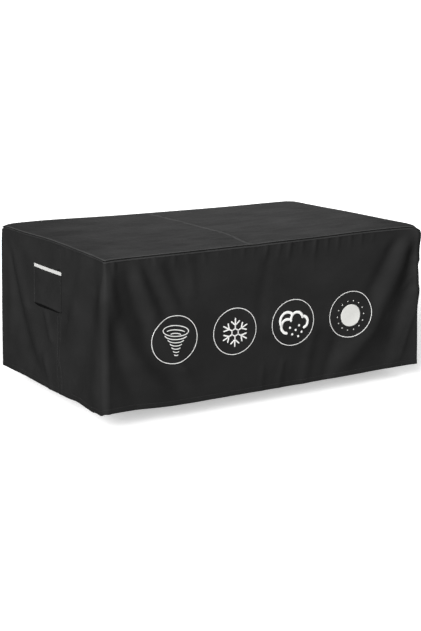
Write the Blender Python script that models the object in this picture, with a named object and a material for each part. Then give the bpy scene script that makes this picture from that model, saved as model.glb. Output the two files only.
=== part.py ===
"""A fitted cover for a patio table with its chairs, hung as it hangs on the furniture.

Run with: blender --background --python part.py

Lengths are in metres and +Z is up. X runs along the cover and Y across it, with the printed
wall towards -Y and the vent in the end wall towards -X. The origin is the middle of the top's
underside, which is what the furniture holds up, so the walls hang down to about -0.71.
"""

from collections import namedtuple

import bpy
import numpy as np
from mathutils import Vector
from mathutils.geometry import delaunay_2d_cdt

# The cover's outer sizes, at its top edge
LENGTH = 1.780
WIDTH = 1.101
DROP = 0.7125  # from the top's face to the hem
FLARE = 0.0124  # how far each wall leans out by the time it reaches the hem

# The cloth and the gaps between its pieces
SHEET = 0.002  # coated cloth with its seam allowance, as one sheet
GAP = 0.0003  # between a sheet and what it is sewn to
SEAM_GAP = 0.0005  # between two sheets that meet edge to edge
OVERLAP = 0.001  # how far the top's edge stands out past the walls

# One row for each upright corner, whose rounding changes evenly from the top edge to the hem.
# The top's cloth drops over the corner, by "drop" at its point and ever less over "reach".
Corner = namedtuple("Corner", "name x y top_radius hem_radius drop reach")
CORNERS = (
    Corner("front_left", -1, -1, 0.012, 0.028, 0.006, 0.050),
    Corner("front_right", 1, -1, 0.016, 0.014, 0.026, 0.020),
    Corner("back_right", 1, 1, 0.010, 0.020, 0.005, 0.030),
    Corner("back_left", -1, 1, 0.010, 0.012, 0.016, 0.022),
)
CORNER_REACH = 0.024  # how far to each side of a corner the sheets are divided more finely

# The seams
END_SEAM_Y = -0.086  # where the two halves of the skirt meet, in each end wall
TOP_SEAM_X = -0.053  # the seam across the top
TOP_SEAM_BEND_Y = -0.15  # past this, towards the front, it swings to the left
TOP_SEAM_SWING = 0.067

# The vent in the left end wall: a strip sewn above a flap that stands open at its lower edge
STRIP_LEFT, STRIP_RIGHT = 0.169, -0.130
STRIP_TOP, STRIP_BOTTOM = -0.1225, -0.1455
STRIP_THICKNESS = 0.0012
FLAP_LEFT, FLAP_RIGHT = 0.172, -0.128
FLAP_TOP, FLAP_BOTTOM = -0.1460, -0.3170
FLAP_THICKNESS = 0.0015
FLAP_STANDS_OUT = 0.013  # at the middle of the lower edge
FLAP_RISES = 0.010  # the middle of the lower edge, which the bulge draws up
FLAP_BORDER = 0.014  # the sewn border at each side
FLAP_ROUNDNESS = 1.2  # above 1, the bulge starts more softly at the borders
FLAT_MARGIN = 0.045  # the wall stays flat this far above and beside the vent
FLAT_FADE = 0.060  # and takes up its folds over this much more
BELOW_MARGIN = 0.010  # the same below the flap, where the cloth is free sooner
BELOW_FADE = 0.030

# The printed rounds on the front wall: the cured ink stiffens the cloth, so its folds are lower
PRINT_Z, PRINT_HALF_HEIGHT = -0.401, 0.1115
Print = namedtuple("Print", "x half_width")
PRINTS = (
    Print(-0.536, 0.121),
    Print(-0.210, 0.121),
    Print(0.1205, 0.121),
    Print(0.467, 0.130),
)
PRINT_CALM = 0.70  # the share of a fold's height that the ink takes away
CALM_FROM, CALM_FADE = 0.85, 0.65  # where that starts to fade, and over how much, in round's radii

# How finely the sheets are divided
FRONT_STEP = 0.036
LEFT_STEP = 0.040
RIGHT_STEP = 0.046
BACK_STEP = 0.050
CORNER_STEPS = 2  # on each side of a corner's middle
ROWS = (
    0.0, 0.022, 0.058, 0.11, 0.17, 0.235, 0.30, 0.365, 0.43,
    0.46, 0.505, 0.56, 0.625, 0.69, 0.76, 0.84, 0.92, 1.0,
)
TOP_GRID = 0.115
TOP_INSET = 0.032  # from the top's edge to the row of points inside it
SLOPE_STEP = 0.002  # over which the top's slope is measured
SEAM_CLEAR = 0.008  # a column or a rim point nearer than this to a seam is left out
STRIP_STEP, FLAP_STEP = 0.080, 0.021

# Colours, as the sheets look by daylight
BLACK_CLOTH = (0.027, 0.027, 0.028, 1.0)
WHITE_STRIP = (0.80, 0.80, 0.79, 1.0)

# One row for each wall: the run is the distance round the cover's top edge, seen from above
# anticlockwise, with 0 in the middle of the front wall. "outward" and "onward" are in plan.
Wall = namedtuple("Wall", "name middle half other outward onward first_corner last_corner")
LONG, WIDE = LENGTH / 2, WIDTH / 2
WALLS = (
    Wall("front", 0.0, LONG, WIDE, (0, -1), (1, 0), "front_left", "front_right"),
    Wall("right", LONG + WIDE, WIDE, LONG, (1, 0), (0, 1), "front_right", "back_right"),
    Wall("back", LENGTH + WIDTH, LONG, WIDE, (0, 1), (-1, 0), "back_right", "back_left"),
    Wall("left", -LONG - WIDE, WIDE, LONG, (-1, 0), (0, -1), "back_left", "front_left"),
)
ROUND = 2 * (LENGTH + WIDTH)

# One row for each main fold. A fold is a ridge, or a trough where its rise is negative. Its
# line starts at top_at, top_z and ends at low_at, low_z, and bow carries its middle sideways.
# "at" is x on the front and back walls and y on the end walls; z is below the top's face.
Fold = namedtuple("Fold", "wall top_at top_z low_at low_z bow top_width low_width rise")
FOLDS = (
    # The fan that falls from the front left corner
    Fold("front", -0.862, 0.010, -0.505, -0.740, -0.110, 0.028, 0.052, 0.0125),
    Fold("front", -0.783, 0.000, -0.435, -0.720, -0.060, 0.034, 0.058, -0.0120),
    Fold("front", -0.752, 0.010, -0.360, -0.720, -0.045, 0.030, 0.046, 0.0105),
    Fold("front", -0.700, 0.000, -0.460, -0.480, -0.012, 0.026, 0.040, -0.0060),
    Fold("front", -0.640, 0.010, -0.480, -0.360, -0.010, 0.026, 0.036, 0.0065),
    Fold("front", -0.575, 0.000, -0.470, -0.280, -0.006, 0.022, 0.030, -0.0030),
    Fold("front", -0.455, 0.010, -0.435, -0.240, 0.000, 0.024, 0.028, 0.0040),
    Fold("front", -0.835, -0.220, -0.680, -0.760, -0.045, 0.034, 0.050, -0.0095),
    # Soft folds along the middle of the front wall
    Fold("front", 0.000, -0.010, -0.080, -0.450, -0.012, 0.030, 0.044, -0.0045),
    Fold("front", -0.550, -0.460, -0.280, -0.720, -0.030, 0.022, 0.030, 0.0045),
    Fold("front", -0.490, -0.460, -0.300, -0.740, -0.040, 0.024, 0.036, -0.0045),
    Fold("front", 0.245, -0.420, 0.165, -0.760, 0.000, 0.028, 0.036, 0.0055),
    Fold("front", 0.420, -0.420, 0.295, -0.740, 0.000, 0.032, 0.042, -0.0060),
    Fold("front", 0.070, -0.560, 0.020, -0.760, 0.000, 0.016, 0.022, 0.0032),
    Fold("front", -0.050, -0.570, -0.070, -0.740, 0.000, 0.014, 0.020, 0.0025),
    # The strong fan that falls from the front right corner
    Fold("front", 0.775, -0.020, 0.485, -0.460, 0.010, 0.034, 0.052, -0.0100),
    Fold("front", 0.844, 0.010, 0.350, -0.740, 0.064, 0.044, 0.064, 0.0160),
    Fold("front", 0.884, -0.030, 0.625, -0.740, 0.050, 0.036, 0.082, -0.0130),
    Fold("front", 0.880, -0.280, 0.700, -0.760, 0.020, 0.030, 0.042, 0.0045),
    Fold("front", 0.885, -0.400, 0.765, -0.700, 0.000, 0.012, 0.016, 0.0030),
    Fold("front", 0.872, -0.245, 0.800, -0.325, 0.000, 0.012, 0.014, 0.0022),
    # The corners, where the cloth stands off the furniture
    Fold("front", 0.890, 0.060, 0.890, -0.380, 0.000, 0.036, 0.034, 0.0070),
    Fold("right", -0.503, 0.040, -0.500, -0.440, 0.000, 0.052, 0.050, 0.0210),
    Fold("front", 0.890, -0.100, 0.890, -1.000, 0.000, 0.030, 0.030, 0.0050),
    Fold("back", 0.890, 0.040, 0.890, -1.000, 0.000, 0.040, 0.030, 0.0050),
    Fold("back", -0.890, 0.060, -0.890, -1.000, 0.000, 0.036, 0.030, 0.0050),
    # The left end wall, on both sides of its vent
    Fold("left", 0.495, -0.080, 0.480, -0.620, -0.050, 0.036, 0.052, 0.0070),
    Fold("left", 0.485, -0.040, 0.120, -0.720, 0.042, 0.044, 0.084, -0.0125),
    Fold("left", 0.420, -0.050, -0.010, -0.700, 0.040, 0.046, 0.082, 0.0120),
    Fold("left", -0.370, -0.040, -0.060, -0.660, -0.020, 0.044, 0.060, 0.0115),
    Fold("left", -0.475, -0.040, -0.200, -0.740, -0.030, 0.042, 0.080, -0.0140),
    Fold("left", -0.550, -0.060, -0.475, -0.760, -0.010, 0.040, 0.090, 0.0140),
    Fold("left", 0.060, -0.310, -0.030, -0.500, 0.000, 0.022, 0.026, 0.0070),
    Fold("left", 0.055, -0.520, -0.015, -0.750, 0.000, 0.022, 0.026, 0.0050),
    # The right end wall
    Fold("right", -0.480, -0.040, -0.160, -0.700, -0.030, 0.028, 0.048, 0.0125),
    Fold("right", -0.420, -0.060, -0.080, -0.620, -0.020, 0.026, 0.040, -0.0085),
    Fold("right", 0.490, -0.030, 0.190, -0.680, 0.025, 0.028, 0.050, 0.0130),
    Fold("right", 0.430, -0.040, 0.110, -0.580, 0.020, 0.026, 0.042, -0.0080),
    Fold("right", 0.040, -0.360, -0.010, -0.760, 0.000, 0.028, 0.040, 0.0055),
    # The back wall
    Fold("back", -0.850, 0.000, -0.500, -0.740, -0.050, 0.028, 0.054, 0.0150),
    Fold("back", -0.780, -0.010, -0.400, -0.700, -0.045, 0.024, 0.042, -0.0085),
    Fold("back", -0.700, 0.000, -0.300, -0.620, -0.030, 0.026, 0.044, 0.0095),
    Fold("back", -0.180, -0.010, -0.110, -0.480, 0.010, 0.028, 0.042, -0.0050),
    Fold("back", 0.160, -0.400, 0.230, -0.760, 0.000, 0.028, 0.038, 0.0070),
    Fold("back", 0.690, -0.010, 0.360, -0.580, 0.030, 0.028, 0.046, 0.0090),
    Fold("back", 0.770, -0.010, 0.430, -0.700, 0.050, 0.026, 0.042, -0.0095),
    Fold("back", 0.845, 0.000, 0.480, -0.750, 0.070, 0.030, 0.056, 0.0170),
)
FADE_IN = 0.18  # the share of a fold's length over which it rises from the flat wall
FADE_OUT = 0.22
SEWN_FLAT = 0.022  # the walls lie flat along the sewn top edge, over this depth

# One row for each swell of the top, which lies on several backs and a table
Swell = namedtuple("Swell", "x y reach_x reach_y rise")
SWELLS = (
    Swell(-0.890, 0.000, 0.280, 0.330, 0.0090),
    Swell(-0.700, 0.550, 0.360, 0.220, 0.0115),
    Swell(0.450, 0.550, 0.420, 0.260, -0.0045),
    Swell(0.600, -0.550, 0.200, 0.160, 0.0045),
    Swell(0.890, 0.350, 0.200, 0.250, -0.0030),
)

# One row for each stretch of hem that hangs higher or lower than the rest
Lift = namedtuple("Lift", "wall at reach rise")
HEM_LIFTS = (
    Lift("front", -0.830, 0.210, 0.0138),
    Lift("front", 0.700, 0.160, 0.0020),
    Lift("left", -0.515, 0.040, -0.0150),
    Lift("left", 0.000, 0.250, -0.0020),
    Lift("left", 0.480, 0.120, -0.0045),
    Lift("left", -0.270, 0.060, 0.0045),
    Lift("left", -0.400, 0.050, -0.0050),
    Lift("right", 0.200, 0.150, 0.0030),
    Lift("back", 0.450, 0.200, 0.0030),
    Lift("back", -0.500, 0.200, -0.0030),
)


def smooth(share):
    """0 below 0, 1 above 1, and an S-curve between."""
    share = np.clip(share, 0.0, 1.0)
    return share * share * (3.0 - 2.0 * share)


def run_of(wall_name, at):
    """The run of a place on a wall, from its x or its y."""
    wall = next(wall for wall in WALLS if wall.name == wall_name)
    return wall.middle + np.asarray(at) * (wall.onward[0] + wall.onward[1])


def round_gap(run, other):
    """The signed distance from one run to another, the shorter way round."""
    return (run - other + ROUND / 2) % ROUND - ROUND / 2


def corner_radius(name, depth):
    """The radius of an upright corner at a depth below the top's face."""
    corner = next(corner for corner in CORNERS if corner.name == name)
    return corner.top_radius + (corner.hem_radius - corner.top_radius) * np.clip(depth / DROP, 0.0, 1.0)


def wall_plan(run, depth):
    """The bare wall's plan position and its outward direction, with no folds.

    The plan is a rectangle, wider by FLARE at the hem, whose corners are arcs. Near a corner
    the run turns into the arc's angle, and along a wall it is stretched evenly.
    """
    run, depth = np.broadcast_arrays(np.asarray(run, float), np.asarray(depth, float))
    place = np.zeros(run.shape + (2,))
    outward = np.zeros(run.shape + (2,))
    lean = FLARE * depth / DROP
    for wall in WALLS:
        along = round_gap(run, wall.middle)
        onward = np.sign(along)
        first, last = (corner_radius(name, depth) for name in (wall.first_corner, wall.last_corner))
        radius = np.where(along < 0, first, last)
        bend = radius * np.pi / 4
        angle = np.clip((np.abs(along) - wall.half + bend) / bend, 0.0, 1.0) * np.pi / 4
        half, other = wall.half + lean, wall.other + lean
        straight = np.minimum(np.abs(along), wall.half - bend) * (half - radius) / (wall.half - bend)
        sideways = onward * (straight + radius * np.sin(angle))
        out = other - radius + radius * np.cos(angle)
        here = np.abs(along) <= wall.half + 1e-9
        for axis in (0, 1):
            position = wall.onward[axis] * sideways + wall.outward[axis] * out
            direction = wall.onward[axis] * onward * np.sin(angle) + wall.outward[axis] * np.cos(angle)
            place[..., axis] = np.where(here, position, place[..., axis])
            outward[..., axis] = np.where(here, direction, outward[..., axis])
    return place, outward


def near_vent(run, z):
    """1 on the flat ground of the vent, falling to 0 outside it."""
    y = -round_gap(run, WALLS[3].middle)
    beside = np.maximum(y - STRIP_LEFT, FLAP_RIGHT - y)
    above = z - STRIP_TOP
    around = 1.0 - smooth((np.maximum(beside, above) - FLAT_MARGIN) / FLAT_FADE)
    return around * (1.0 - smooth((FLAP_BOTTOM - z - BELOW_MARGIN) / BELOW_FADE))


def print_calm(run, z):
    """1 away from the printed rounds, and less under each one."""
    calm = 1.0
    for ink in PRINTS:
        away = np.hypot(round_gap(run, ink.x) / ink.half_width, (z - PRINT_Z) / PRINT_HALF_HEIGHT)
        calm = calm * (1.0 - PRINT_CALM * (1.0 - smooth((away - CALM_FROM) / CALM_FADE)))
    return calm


def fold_rise(run, z):
    """How far the folds carry the cloth out from the bare wall: each is a bell across its line."""
    total = np.zeros(np.broadcast(run, z).shape)
    for fold in FOLDS:
        share = (fold.top_z - z) / (fold.top_z - fold.low_z)
        inside = np.clip(share, 0.0, 1.0)
        middle = fold.top_at + (fold.low_at - fold.top_at) * inside + fold.bow * 4 * inside * (1 - inside)
        slope = (fold.low_at - fold.top_at + fold.bow * 4 * (1 - 2 * inside)) / (fold.top_z - fold.low_z)
        width = fold.top_width + (fold.low_width - fold.top_width) * inside
        across = round_gap(run, run_of(fold.wall, middle)) / np.sqrt(1 + slope**2)
        strength = smooth(share / FADE_IN) * smooth((1 - share) / FADE_OUT)
        total += fold.rise * strength * np.exp(-((across / width) ** 2))
    return total * print_calm(run, z) * (1.0 - near_vent(run, z)) * smooth(-z / SEWN_FLAT)


def top_height(x, y):
    """The height of the top's face over the plan: its swells, less the drop over each corner."""
    height = np.full(np.broadcast(x, y).shape, SHEET)
    for swell in SWELLS:
        far = ((x - swell.x) / swell.reach_x) ** 2 + ((y - swell.y) / swell.reach_y) ** 2
        height += swell.rise * np.exp(-far)
    for corner in CORNERS:
        away = np.hypot(x - corner.x * LONG, y - corner.y * WIDE)
        height -= corner.drop * np.exp(-away / corner.reach)
    return height


def under_top(x, y):
    """The height just under the top's sheet, which is deeper where the top slopes."""
    step = SLOPE_STEP
    slope_x = (top_height(x + step, y) - top_height(x - step, y)) / (2 * step)
    slope_y = (top_height(x, y + step) - top_height(x, y - step)) / (2 * step)
    return top_height(x, y) - SHEET * np.sqrt(1 + slope_x**2 + slope_y**2) - GAP


def hem_height(run):
    """The height of the hem along the run."""
    height = np.full(np.shape(run), SHEET - DROP)
    for lift in HEM_LIFTS:
        far = round_gap(run, run_of(lift.wall, lift.at)) / lift.reach
        height += lift.rise * np.exp(-(far**2))
    return height


def skirt_points(run, share):
    """The skirt's outer face, from its sewn top edge (share 0) to its hem (share 1)."""
    edge, _ = wall_plan(run, 0.0)
    top = under_top(edge[..., 0], edge[..., 1])
    z = top + share * (hem_height(run) - top)
    plan, outward = wall_plan(run, SHEET - z)
    plan = plan + outward * fold_rise(run, z - SHEET)[..., None]
    return np.concatenate([plan, z[..., None]], axis=-1)


def spaced(start, end, step):
    """Evenly spaced values from start to end, about step apart, both ends included."""
    return np.linspace(start, end, max(2, round(abs(end - start) / step) + 1))


def columns():
    """The runs at which all the sheets are divided, from the left end seam right round to it."""
    steps = {"front": FRONT_STEP, "right": RIGHT_STEP, "back": BACK_STEP, "left": LEFT_STEP}
    runs = []
    for wall in WALLS:
        corner = spaced(wall.half - CORNER_REACH, wall.half, CORNER_REACH / CORNER_STEPS)
        plain = spaced(CORNER_REACH - wall.half, wall.half - CORNER_REACH, steps[wall.name])
        local = np.unique(np.round(np.concatenate([-corner, plain, corner]), 9))
        runs.append(wall.middle + local)
    start = run_of("left", END_SEAM_Y)
    return np.unique(np.round((np.concatenate(runs) - start) % ROUND, 6)) + start


def material(name, colour, roughness):
    """A plain cloth finish."""
    finish = bpy.data.materials.new(name)
    finish.use_nodes = True
    shader = finish.node_tree.nodes["Principled BSDF"]
    shader.inputs["Base Color"].default_value = colour
    shader.inputs["Roughness"].default_value = roughness
    shader.inputs["Metallic"].default_value = 0.0
    return finish


def sheet_object(name, points, faces, thickness, finish):
    """A closed sheet: the outer face as given, and its thickness added behind it."""
    mesh = bpy.data.meshes.new(name)
    mesh.from_pydata([tuple(point) for point in points], [], [tuple(face) for face in faces])
    mesh.validate()
    mesh.shade_smooth()
    mesh.materials.append(finish)
    sheet = bpy.data.objects.new(name, mesh)
    bpy.context.scene.collection.objects.link(sheet)
    solidify = sheet.modifiers.new("Thickness", "SOLIDIFY")
    solidify.thickness = thickness
    solidify.offset = -1.0
    return sheet


def grid_faces(across, down):
    """Quads over a grid of points stored row by row, facing out when across runs anticlockwise."""
    index = np.arange(across * down).reshape(down, across)
    corners = (index[1:, :-1], index[1:, 1:], index[:-1, 1:], index[:-1, :-1])
    return np.stack(corners, axis=-1).reshape(-1, 4).tolist()


def skirt_half(name, runs, finish):
    """Half of the skirt: one length of cloth that turns two corners, between the end seams."""
    grid_run, grid_share = np.meshgrid(runs, ROWS)
    points = skirt_points(grid_run, grid_share)
    return sheet_object(name, points.reshape(-1, 3), grid_faces(len(runs), len(ROWS)), SHEET, finish)


def top_seam_x(y):
    """The seam across the top: straight, then swung to the left towards the front edge."""
    past = np.clip((TOP_SEAM_BEND_Y - y) / (TOP_SEAM_BEND_Y + WIDE), 0.0, None)
    return TOP_SEAM_X - TOP_SEAM_SWING * past**1.5


def top_panel(name, side, runs, finish):
    """One panel of the top, on the left (side -1) or the right (side 1) of the seam across it."""
    edge, outward = wall_plan(runs, 0.0)
    heights = top_height(edge[:, 0], edge[:, 1])
    rim = np.column_stack([edge + outward * OVERLAP, heights])
    inner_plan = edge - outward * TOP_INSET
    seam_y = spaced(-WIDE - OVERLAP, WIDE + OVERLAP, TOP_GRID)
    seam_x = top_seam_x(seam_y) + side * SEAM_GAP / 2
    seam = np.column_stack([seam_x, seam_y, top_height(seam_x, np.clip(seam_y, -WIDE, WIDE))])
    clear = side * (rim[:, 0] - top_seam_x(rim[:, 1])) > SEAM_CLEAR
    kept = rim[clear]
    order = np.argsort(np.arctan2(kept[:, 1], side * (kept[:, 0] - TOP_SEAM_X)))
    outline = np.concatenate([kept[order], seam[::-1]])
    grid_x, grid_y = np.meshgrid(spaced(-LONG, LONG, TOP_GRID), spaced(-WIDE, WIDE, TOP_GRID))
    grid = np.column_stack([grid_x.ravel(), grid_y.ravel()])
    room = np.minimum(LONG - np.abs(grid[:, 0]), WIDE - np.abs(grid[:, 1]))
    inner = np.concatenate([inner_plan, grid[room > 2 * TOP_INSET]])
    inner = inner[side * (inner[:, 0] - top_seam_x(inner[:, 1])) > TOP_INSET]
    plan = [Vector(point) for point in np.concatenate([outline[:, :2], inner])]
    border = list(range(len(outline)))
    found, _, faces, _, _, _ = delaunay_2d_cdt(plan, [], [border if side > 0 else border[::-1]], 1, 1e-7)
    flat = np.array([tuple(point) for point in found])
    points = np.column_stack([flat, top_height(flat[:, 0], flat[:, 1])])
    for corner in outline:
        nearest = np.argmin(np.hypot(*(flat - corner[:2]).T))
        points[nearest, 2] = corner[2]
    return sheet_object(name, points, faces, SHEET, finish)


def on_left_wall(y, z, stand_off):
    """Points at a distance off the bare left end wall. z is below the top's face."""
    x = -LONG + FLARE * z / DROP - stand_off
    return np.stack(np.broadcast_arrays(x, y, z + SHEET), axis=-1)


def vent_strip(finish):
    """The light strip sewn flat to the wall along the head of the vent."""
    across = spaced(STRIP_LEFT, STRIP_RIGHT, STRIP_STEP)
    down = spaced(STRIP_TOP, STRIP_BOTTOM, STRIP_STEP)
    y, z = np.meshgrid(across, down)
    points = on_left_wall(y, z, GAP + STRIP_THICKNESS).reshape(-1, 3)
    return sheet_object("vent_strip", points, grid_faces(len(across), len(down)), STRIP_THICKNESS, finish)


def vent_flap(finish):
    """The vent's flap: sewn at its head and sides, and bulging out to its free lower edge."""
    width = FLAP_LEFT - FLAP_RIGHT
    border = np.array([0.0, FLAP_BORDER])
    middle = spaced(FLAP_BORDER, width - FLAP_BORDER, FLAP_STEP)[1:-1]
    across = np.concatenate([border, middle, width - border[::-1]])
    down = spaced(0.0, 1.0, FLAP_STEP / (FLAP_TOP - FLAP_BOTTOM))
    y, down_share = np.meshgrid(FLAP_LEFT - across, down)
    sideways = np.clip((FLAP_LEFT - FLAP_BORDER - y) / (width - 2 * FLAP_BORDER), 0.0, 1.0)
    stands = np.sin(np.pi * sideways) ** FLAP_ROUNDNESS
    z = FLAP_TOP - down_share * (FLAP_TOP - FLAP_BOTTOM - FLAP_RISES * stands)
    bulge = FLAP_STANDS_OUT * stands * smooth(down_share) * down_share
    points = on_left_wall(y, z, GAP + FLAP_THICKNESS + bulge).reshape(-1, 3)
    return sheet_object("vent_flap", points, grid_faces(len(across), len(down)), FLAP_THICKNESS, finish)


def main():
    for old in list(bpy.data.objects):
        bpy.data.objects.remove(old)
    cloth = material("coated_black_cloth", BLACK_CLOTH, 0.62)
    strip = material("white_webbing", WHITE_STRIP, 0.70)
    runs = columns()
    seam_right = run_of("right", END_SEAM_Y)
    seam_left = run_of("left", END_SEAM_Y)
    front = runs[(runs > seam_left + SEAM_CLEAR) & (runs < seam_right - SEAM_CLEAR)]
    back = runs[(runs > seam_right + SEAM_CLEAR) & (runs < seam_left + ROUND - SEAM_CLEAR)]
    half = SEAM_GAP / 2
    skirt_half("skirt_front", np.concatenate([[seam_left + half], front, [seam_right - half]]), cloth)
    skirt_half("skirt_back", np.concatenate([[seam_right + half], back, [seam_left + ROUND - half]]), cloth)
    top_panel("top_panel_left", -1, runs, cloth)
    top_panel("top_panel_right", 1, runs, cloth)
    vent_strip(strip)
    vent_flap(cloth)


main()
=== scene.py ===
"""The looks of a fitted patio furniture cover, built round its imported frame.

The file is laid out as a Blender add-on and is run as a script. Each operator makes one piece, or
a group of like pieces, as surfaces worked out with numpy. Lengths are in metres and +Z is up. X
runs along the cover, the printed wall faces -Y, and the vent is in the end wall towards -X. The
origin is the middle of the top's underside.

A place on the walls is given by its run, which is the distance round the top edge seen from above
anticlockwise, with 0 in the middle of the printed wall, and by its z.
"""

from collections import namedtuple
from math import cos, pi, radians, sin, tau

import bpy
import numpy as np
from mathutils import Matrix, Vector


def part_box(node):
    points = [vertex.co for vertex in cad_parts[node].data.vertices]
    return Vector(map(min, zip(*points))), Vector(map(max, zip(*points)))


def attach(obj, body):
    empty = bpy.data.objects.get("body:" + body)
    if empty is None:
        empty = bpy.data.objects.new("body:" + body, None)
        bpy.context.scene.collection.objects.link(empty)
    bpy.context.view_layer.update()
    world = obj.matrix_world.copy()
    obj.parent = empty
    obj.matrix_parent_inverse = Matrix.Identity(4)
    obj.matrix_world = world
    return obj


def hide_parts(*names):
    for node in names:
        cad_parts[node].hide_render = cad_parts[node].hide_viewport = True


bl_info = {
    "name": "Fitted patio furniture cover",
    "version": (1, 0, 0),
    "blender": (4, 5, 0),
    "location": "3D Viewport > Sidebar > Patio cover",
    "description": "Makes the cloth, seams, stitching, vent and prints of a fitted patio cover",
    "category": "Add Mesh",
}

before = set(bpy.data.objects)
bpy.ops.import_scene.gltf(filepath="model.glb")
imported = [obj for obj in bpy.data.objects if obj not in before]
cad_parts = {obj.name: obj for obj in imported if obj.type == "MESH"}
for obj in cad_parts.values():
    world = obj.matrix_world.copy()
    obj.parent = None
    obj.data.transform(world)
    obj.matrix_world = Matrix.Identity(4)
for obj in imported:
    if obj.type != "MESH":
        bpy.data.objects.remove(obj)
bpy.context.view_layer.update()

# Sizes that the frame gives
TOP_LAP = 0.001  # how far the frame's top panels stand out past its walls
TOP_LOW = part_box("top_panel_left")[0]
TOP_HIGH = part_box("top_panel_right")[1]
FRAME_LENGTH = TOP_HIGH.x - TOP_LOW.x - 2 * TOP_LAP
FRAME_WIDTH = TOP_HIGH.y - TOP_LOW.y - 2 * TOP_LAP
STRIP_LOW, STRIP_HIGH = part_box("vent_strip")
FLAP_LOW, FLAP_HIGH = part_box("vent_flap")

# The frame's own driving sizes, which its boxes don't give
FRAME_SHEET = 0.002  # the thickness of its sheets
FRAME_DROP = 0.7125  # the height of its walls
FRAME_FLARE = 0.0124  # how far they lean out at the hem
END_SEAM_Y = -0.086  # where the two skirt halves meet in each end wall
TOP_SEAM_X, TOP_SEAM_BEND_Y, TOP_SEAM_SWING = -0.053, -0.15, 0.067
FLAP_STANDS_OUT = 0.013
FLAP_BORDER = 0.014  # how wide its sewn sides are, beside the bulge
FLAP_RISES = 0.010  # the middle of its free edge, which the bulge draws up
FLAP_ROUNDNESS = 1.2  # above 1, its bulge starts more softly at the borders
STRIP_HEIGHT, STRIP_INSET, STRIP_SAG = 0.0168, 0.0024, 0.0012  # of the white strip, inside its solid
NET_LEFT, NET_RIGHT, PAINTED_SHADE_SHOWS = 0.169, -0.116, 0.0185  # the net's y, and how far below the flap its dark crescent reaches, which is painted shade of the vent's opening
FLAT_MARGIN, FLAT_FADE = 0.045, 0.060  # how far round the vent the cloth stays flat, and how softly it ends
BELOW_MARGIN, BELOW_FADE = 0.010, 0.030  # the same below the flap, where the cloth is free sooner

# One row for each upright corner, whose rounding changes evenly from the top edge to the hem.
# The top's cloth drops over the corner, by "drop" at its point and ever less over "reach".
Corner = namedtuple("Corner", "name x y top_radius hem_radius drop reach")
CORNERS = (
    Corner("front_left", -1, -1, 0.012, 0.028, 0.006, 0.050),
    Corner("front_right", 1, -1, 0.016, 0.014, 0.026, 0.020),
    Corner("back_right", 1, 1, 0.010, 0.020, 0.005, 0.030),
    Corner("back_left", -1, 1, 0.010, 0.012, 0.016, 0.022),
)

# One row for each wall. "outward" and "onward", the way the run grows, are in plan.
Wall = namedtuple("Wall", "name middle half other outward onward first_corner last_corner")
HALF_LENGTH, HALF_WIDTH = FRAME_LENGTH / 2, FRAME_WIDTH / 2
END_MIDDLE = HALF_LENGTH + HALF_WIDTH  # the run from the middle of the front wall to that of an end wall
WALLS = (
    Wall("front", 0.0, HALF_LENGTH, HALF_WIDTH, (0, -1), (1, 0), "front_left", "front_right"),
    Wall("right", END_MIDDLE, HALF_WIDTH, HALF_LENGTH, (1, 0), (0, 1), "front_right", "back_right"),
    Wall("back", 2 * END_MIDDLE, HALF_LENGTH, HALF_WIDTH, (0, 1), (-1, 0), "back_right", "back_left"),
    Wall("left", -END_MIDDLE, HALF_WIDTH, HALF_LENGTH, (-1, 0), (0, -1), "back_left", "front_left"),
)
ROUND = 4 * END_MIDDLE  # the whole way round
END_BLEND = 0.02  # over this run, what belongs to an end wall alone fades out at its corners

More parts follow.
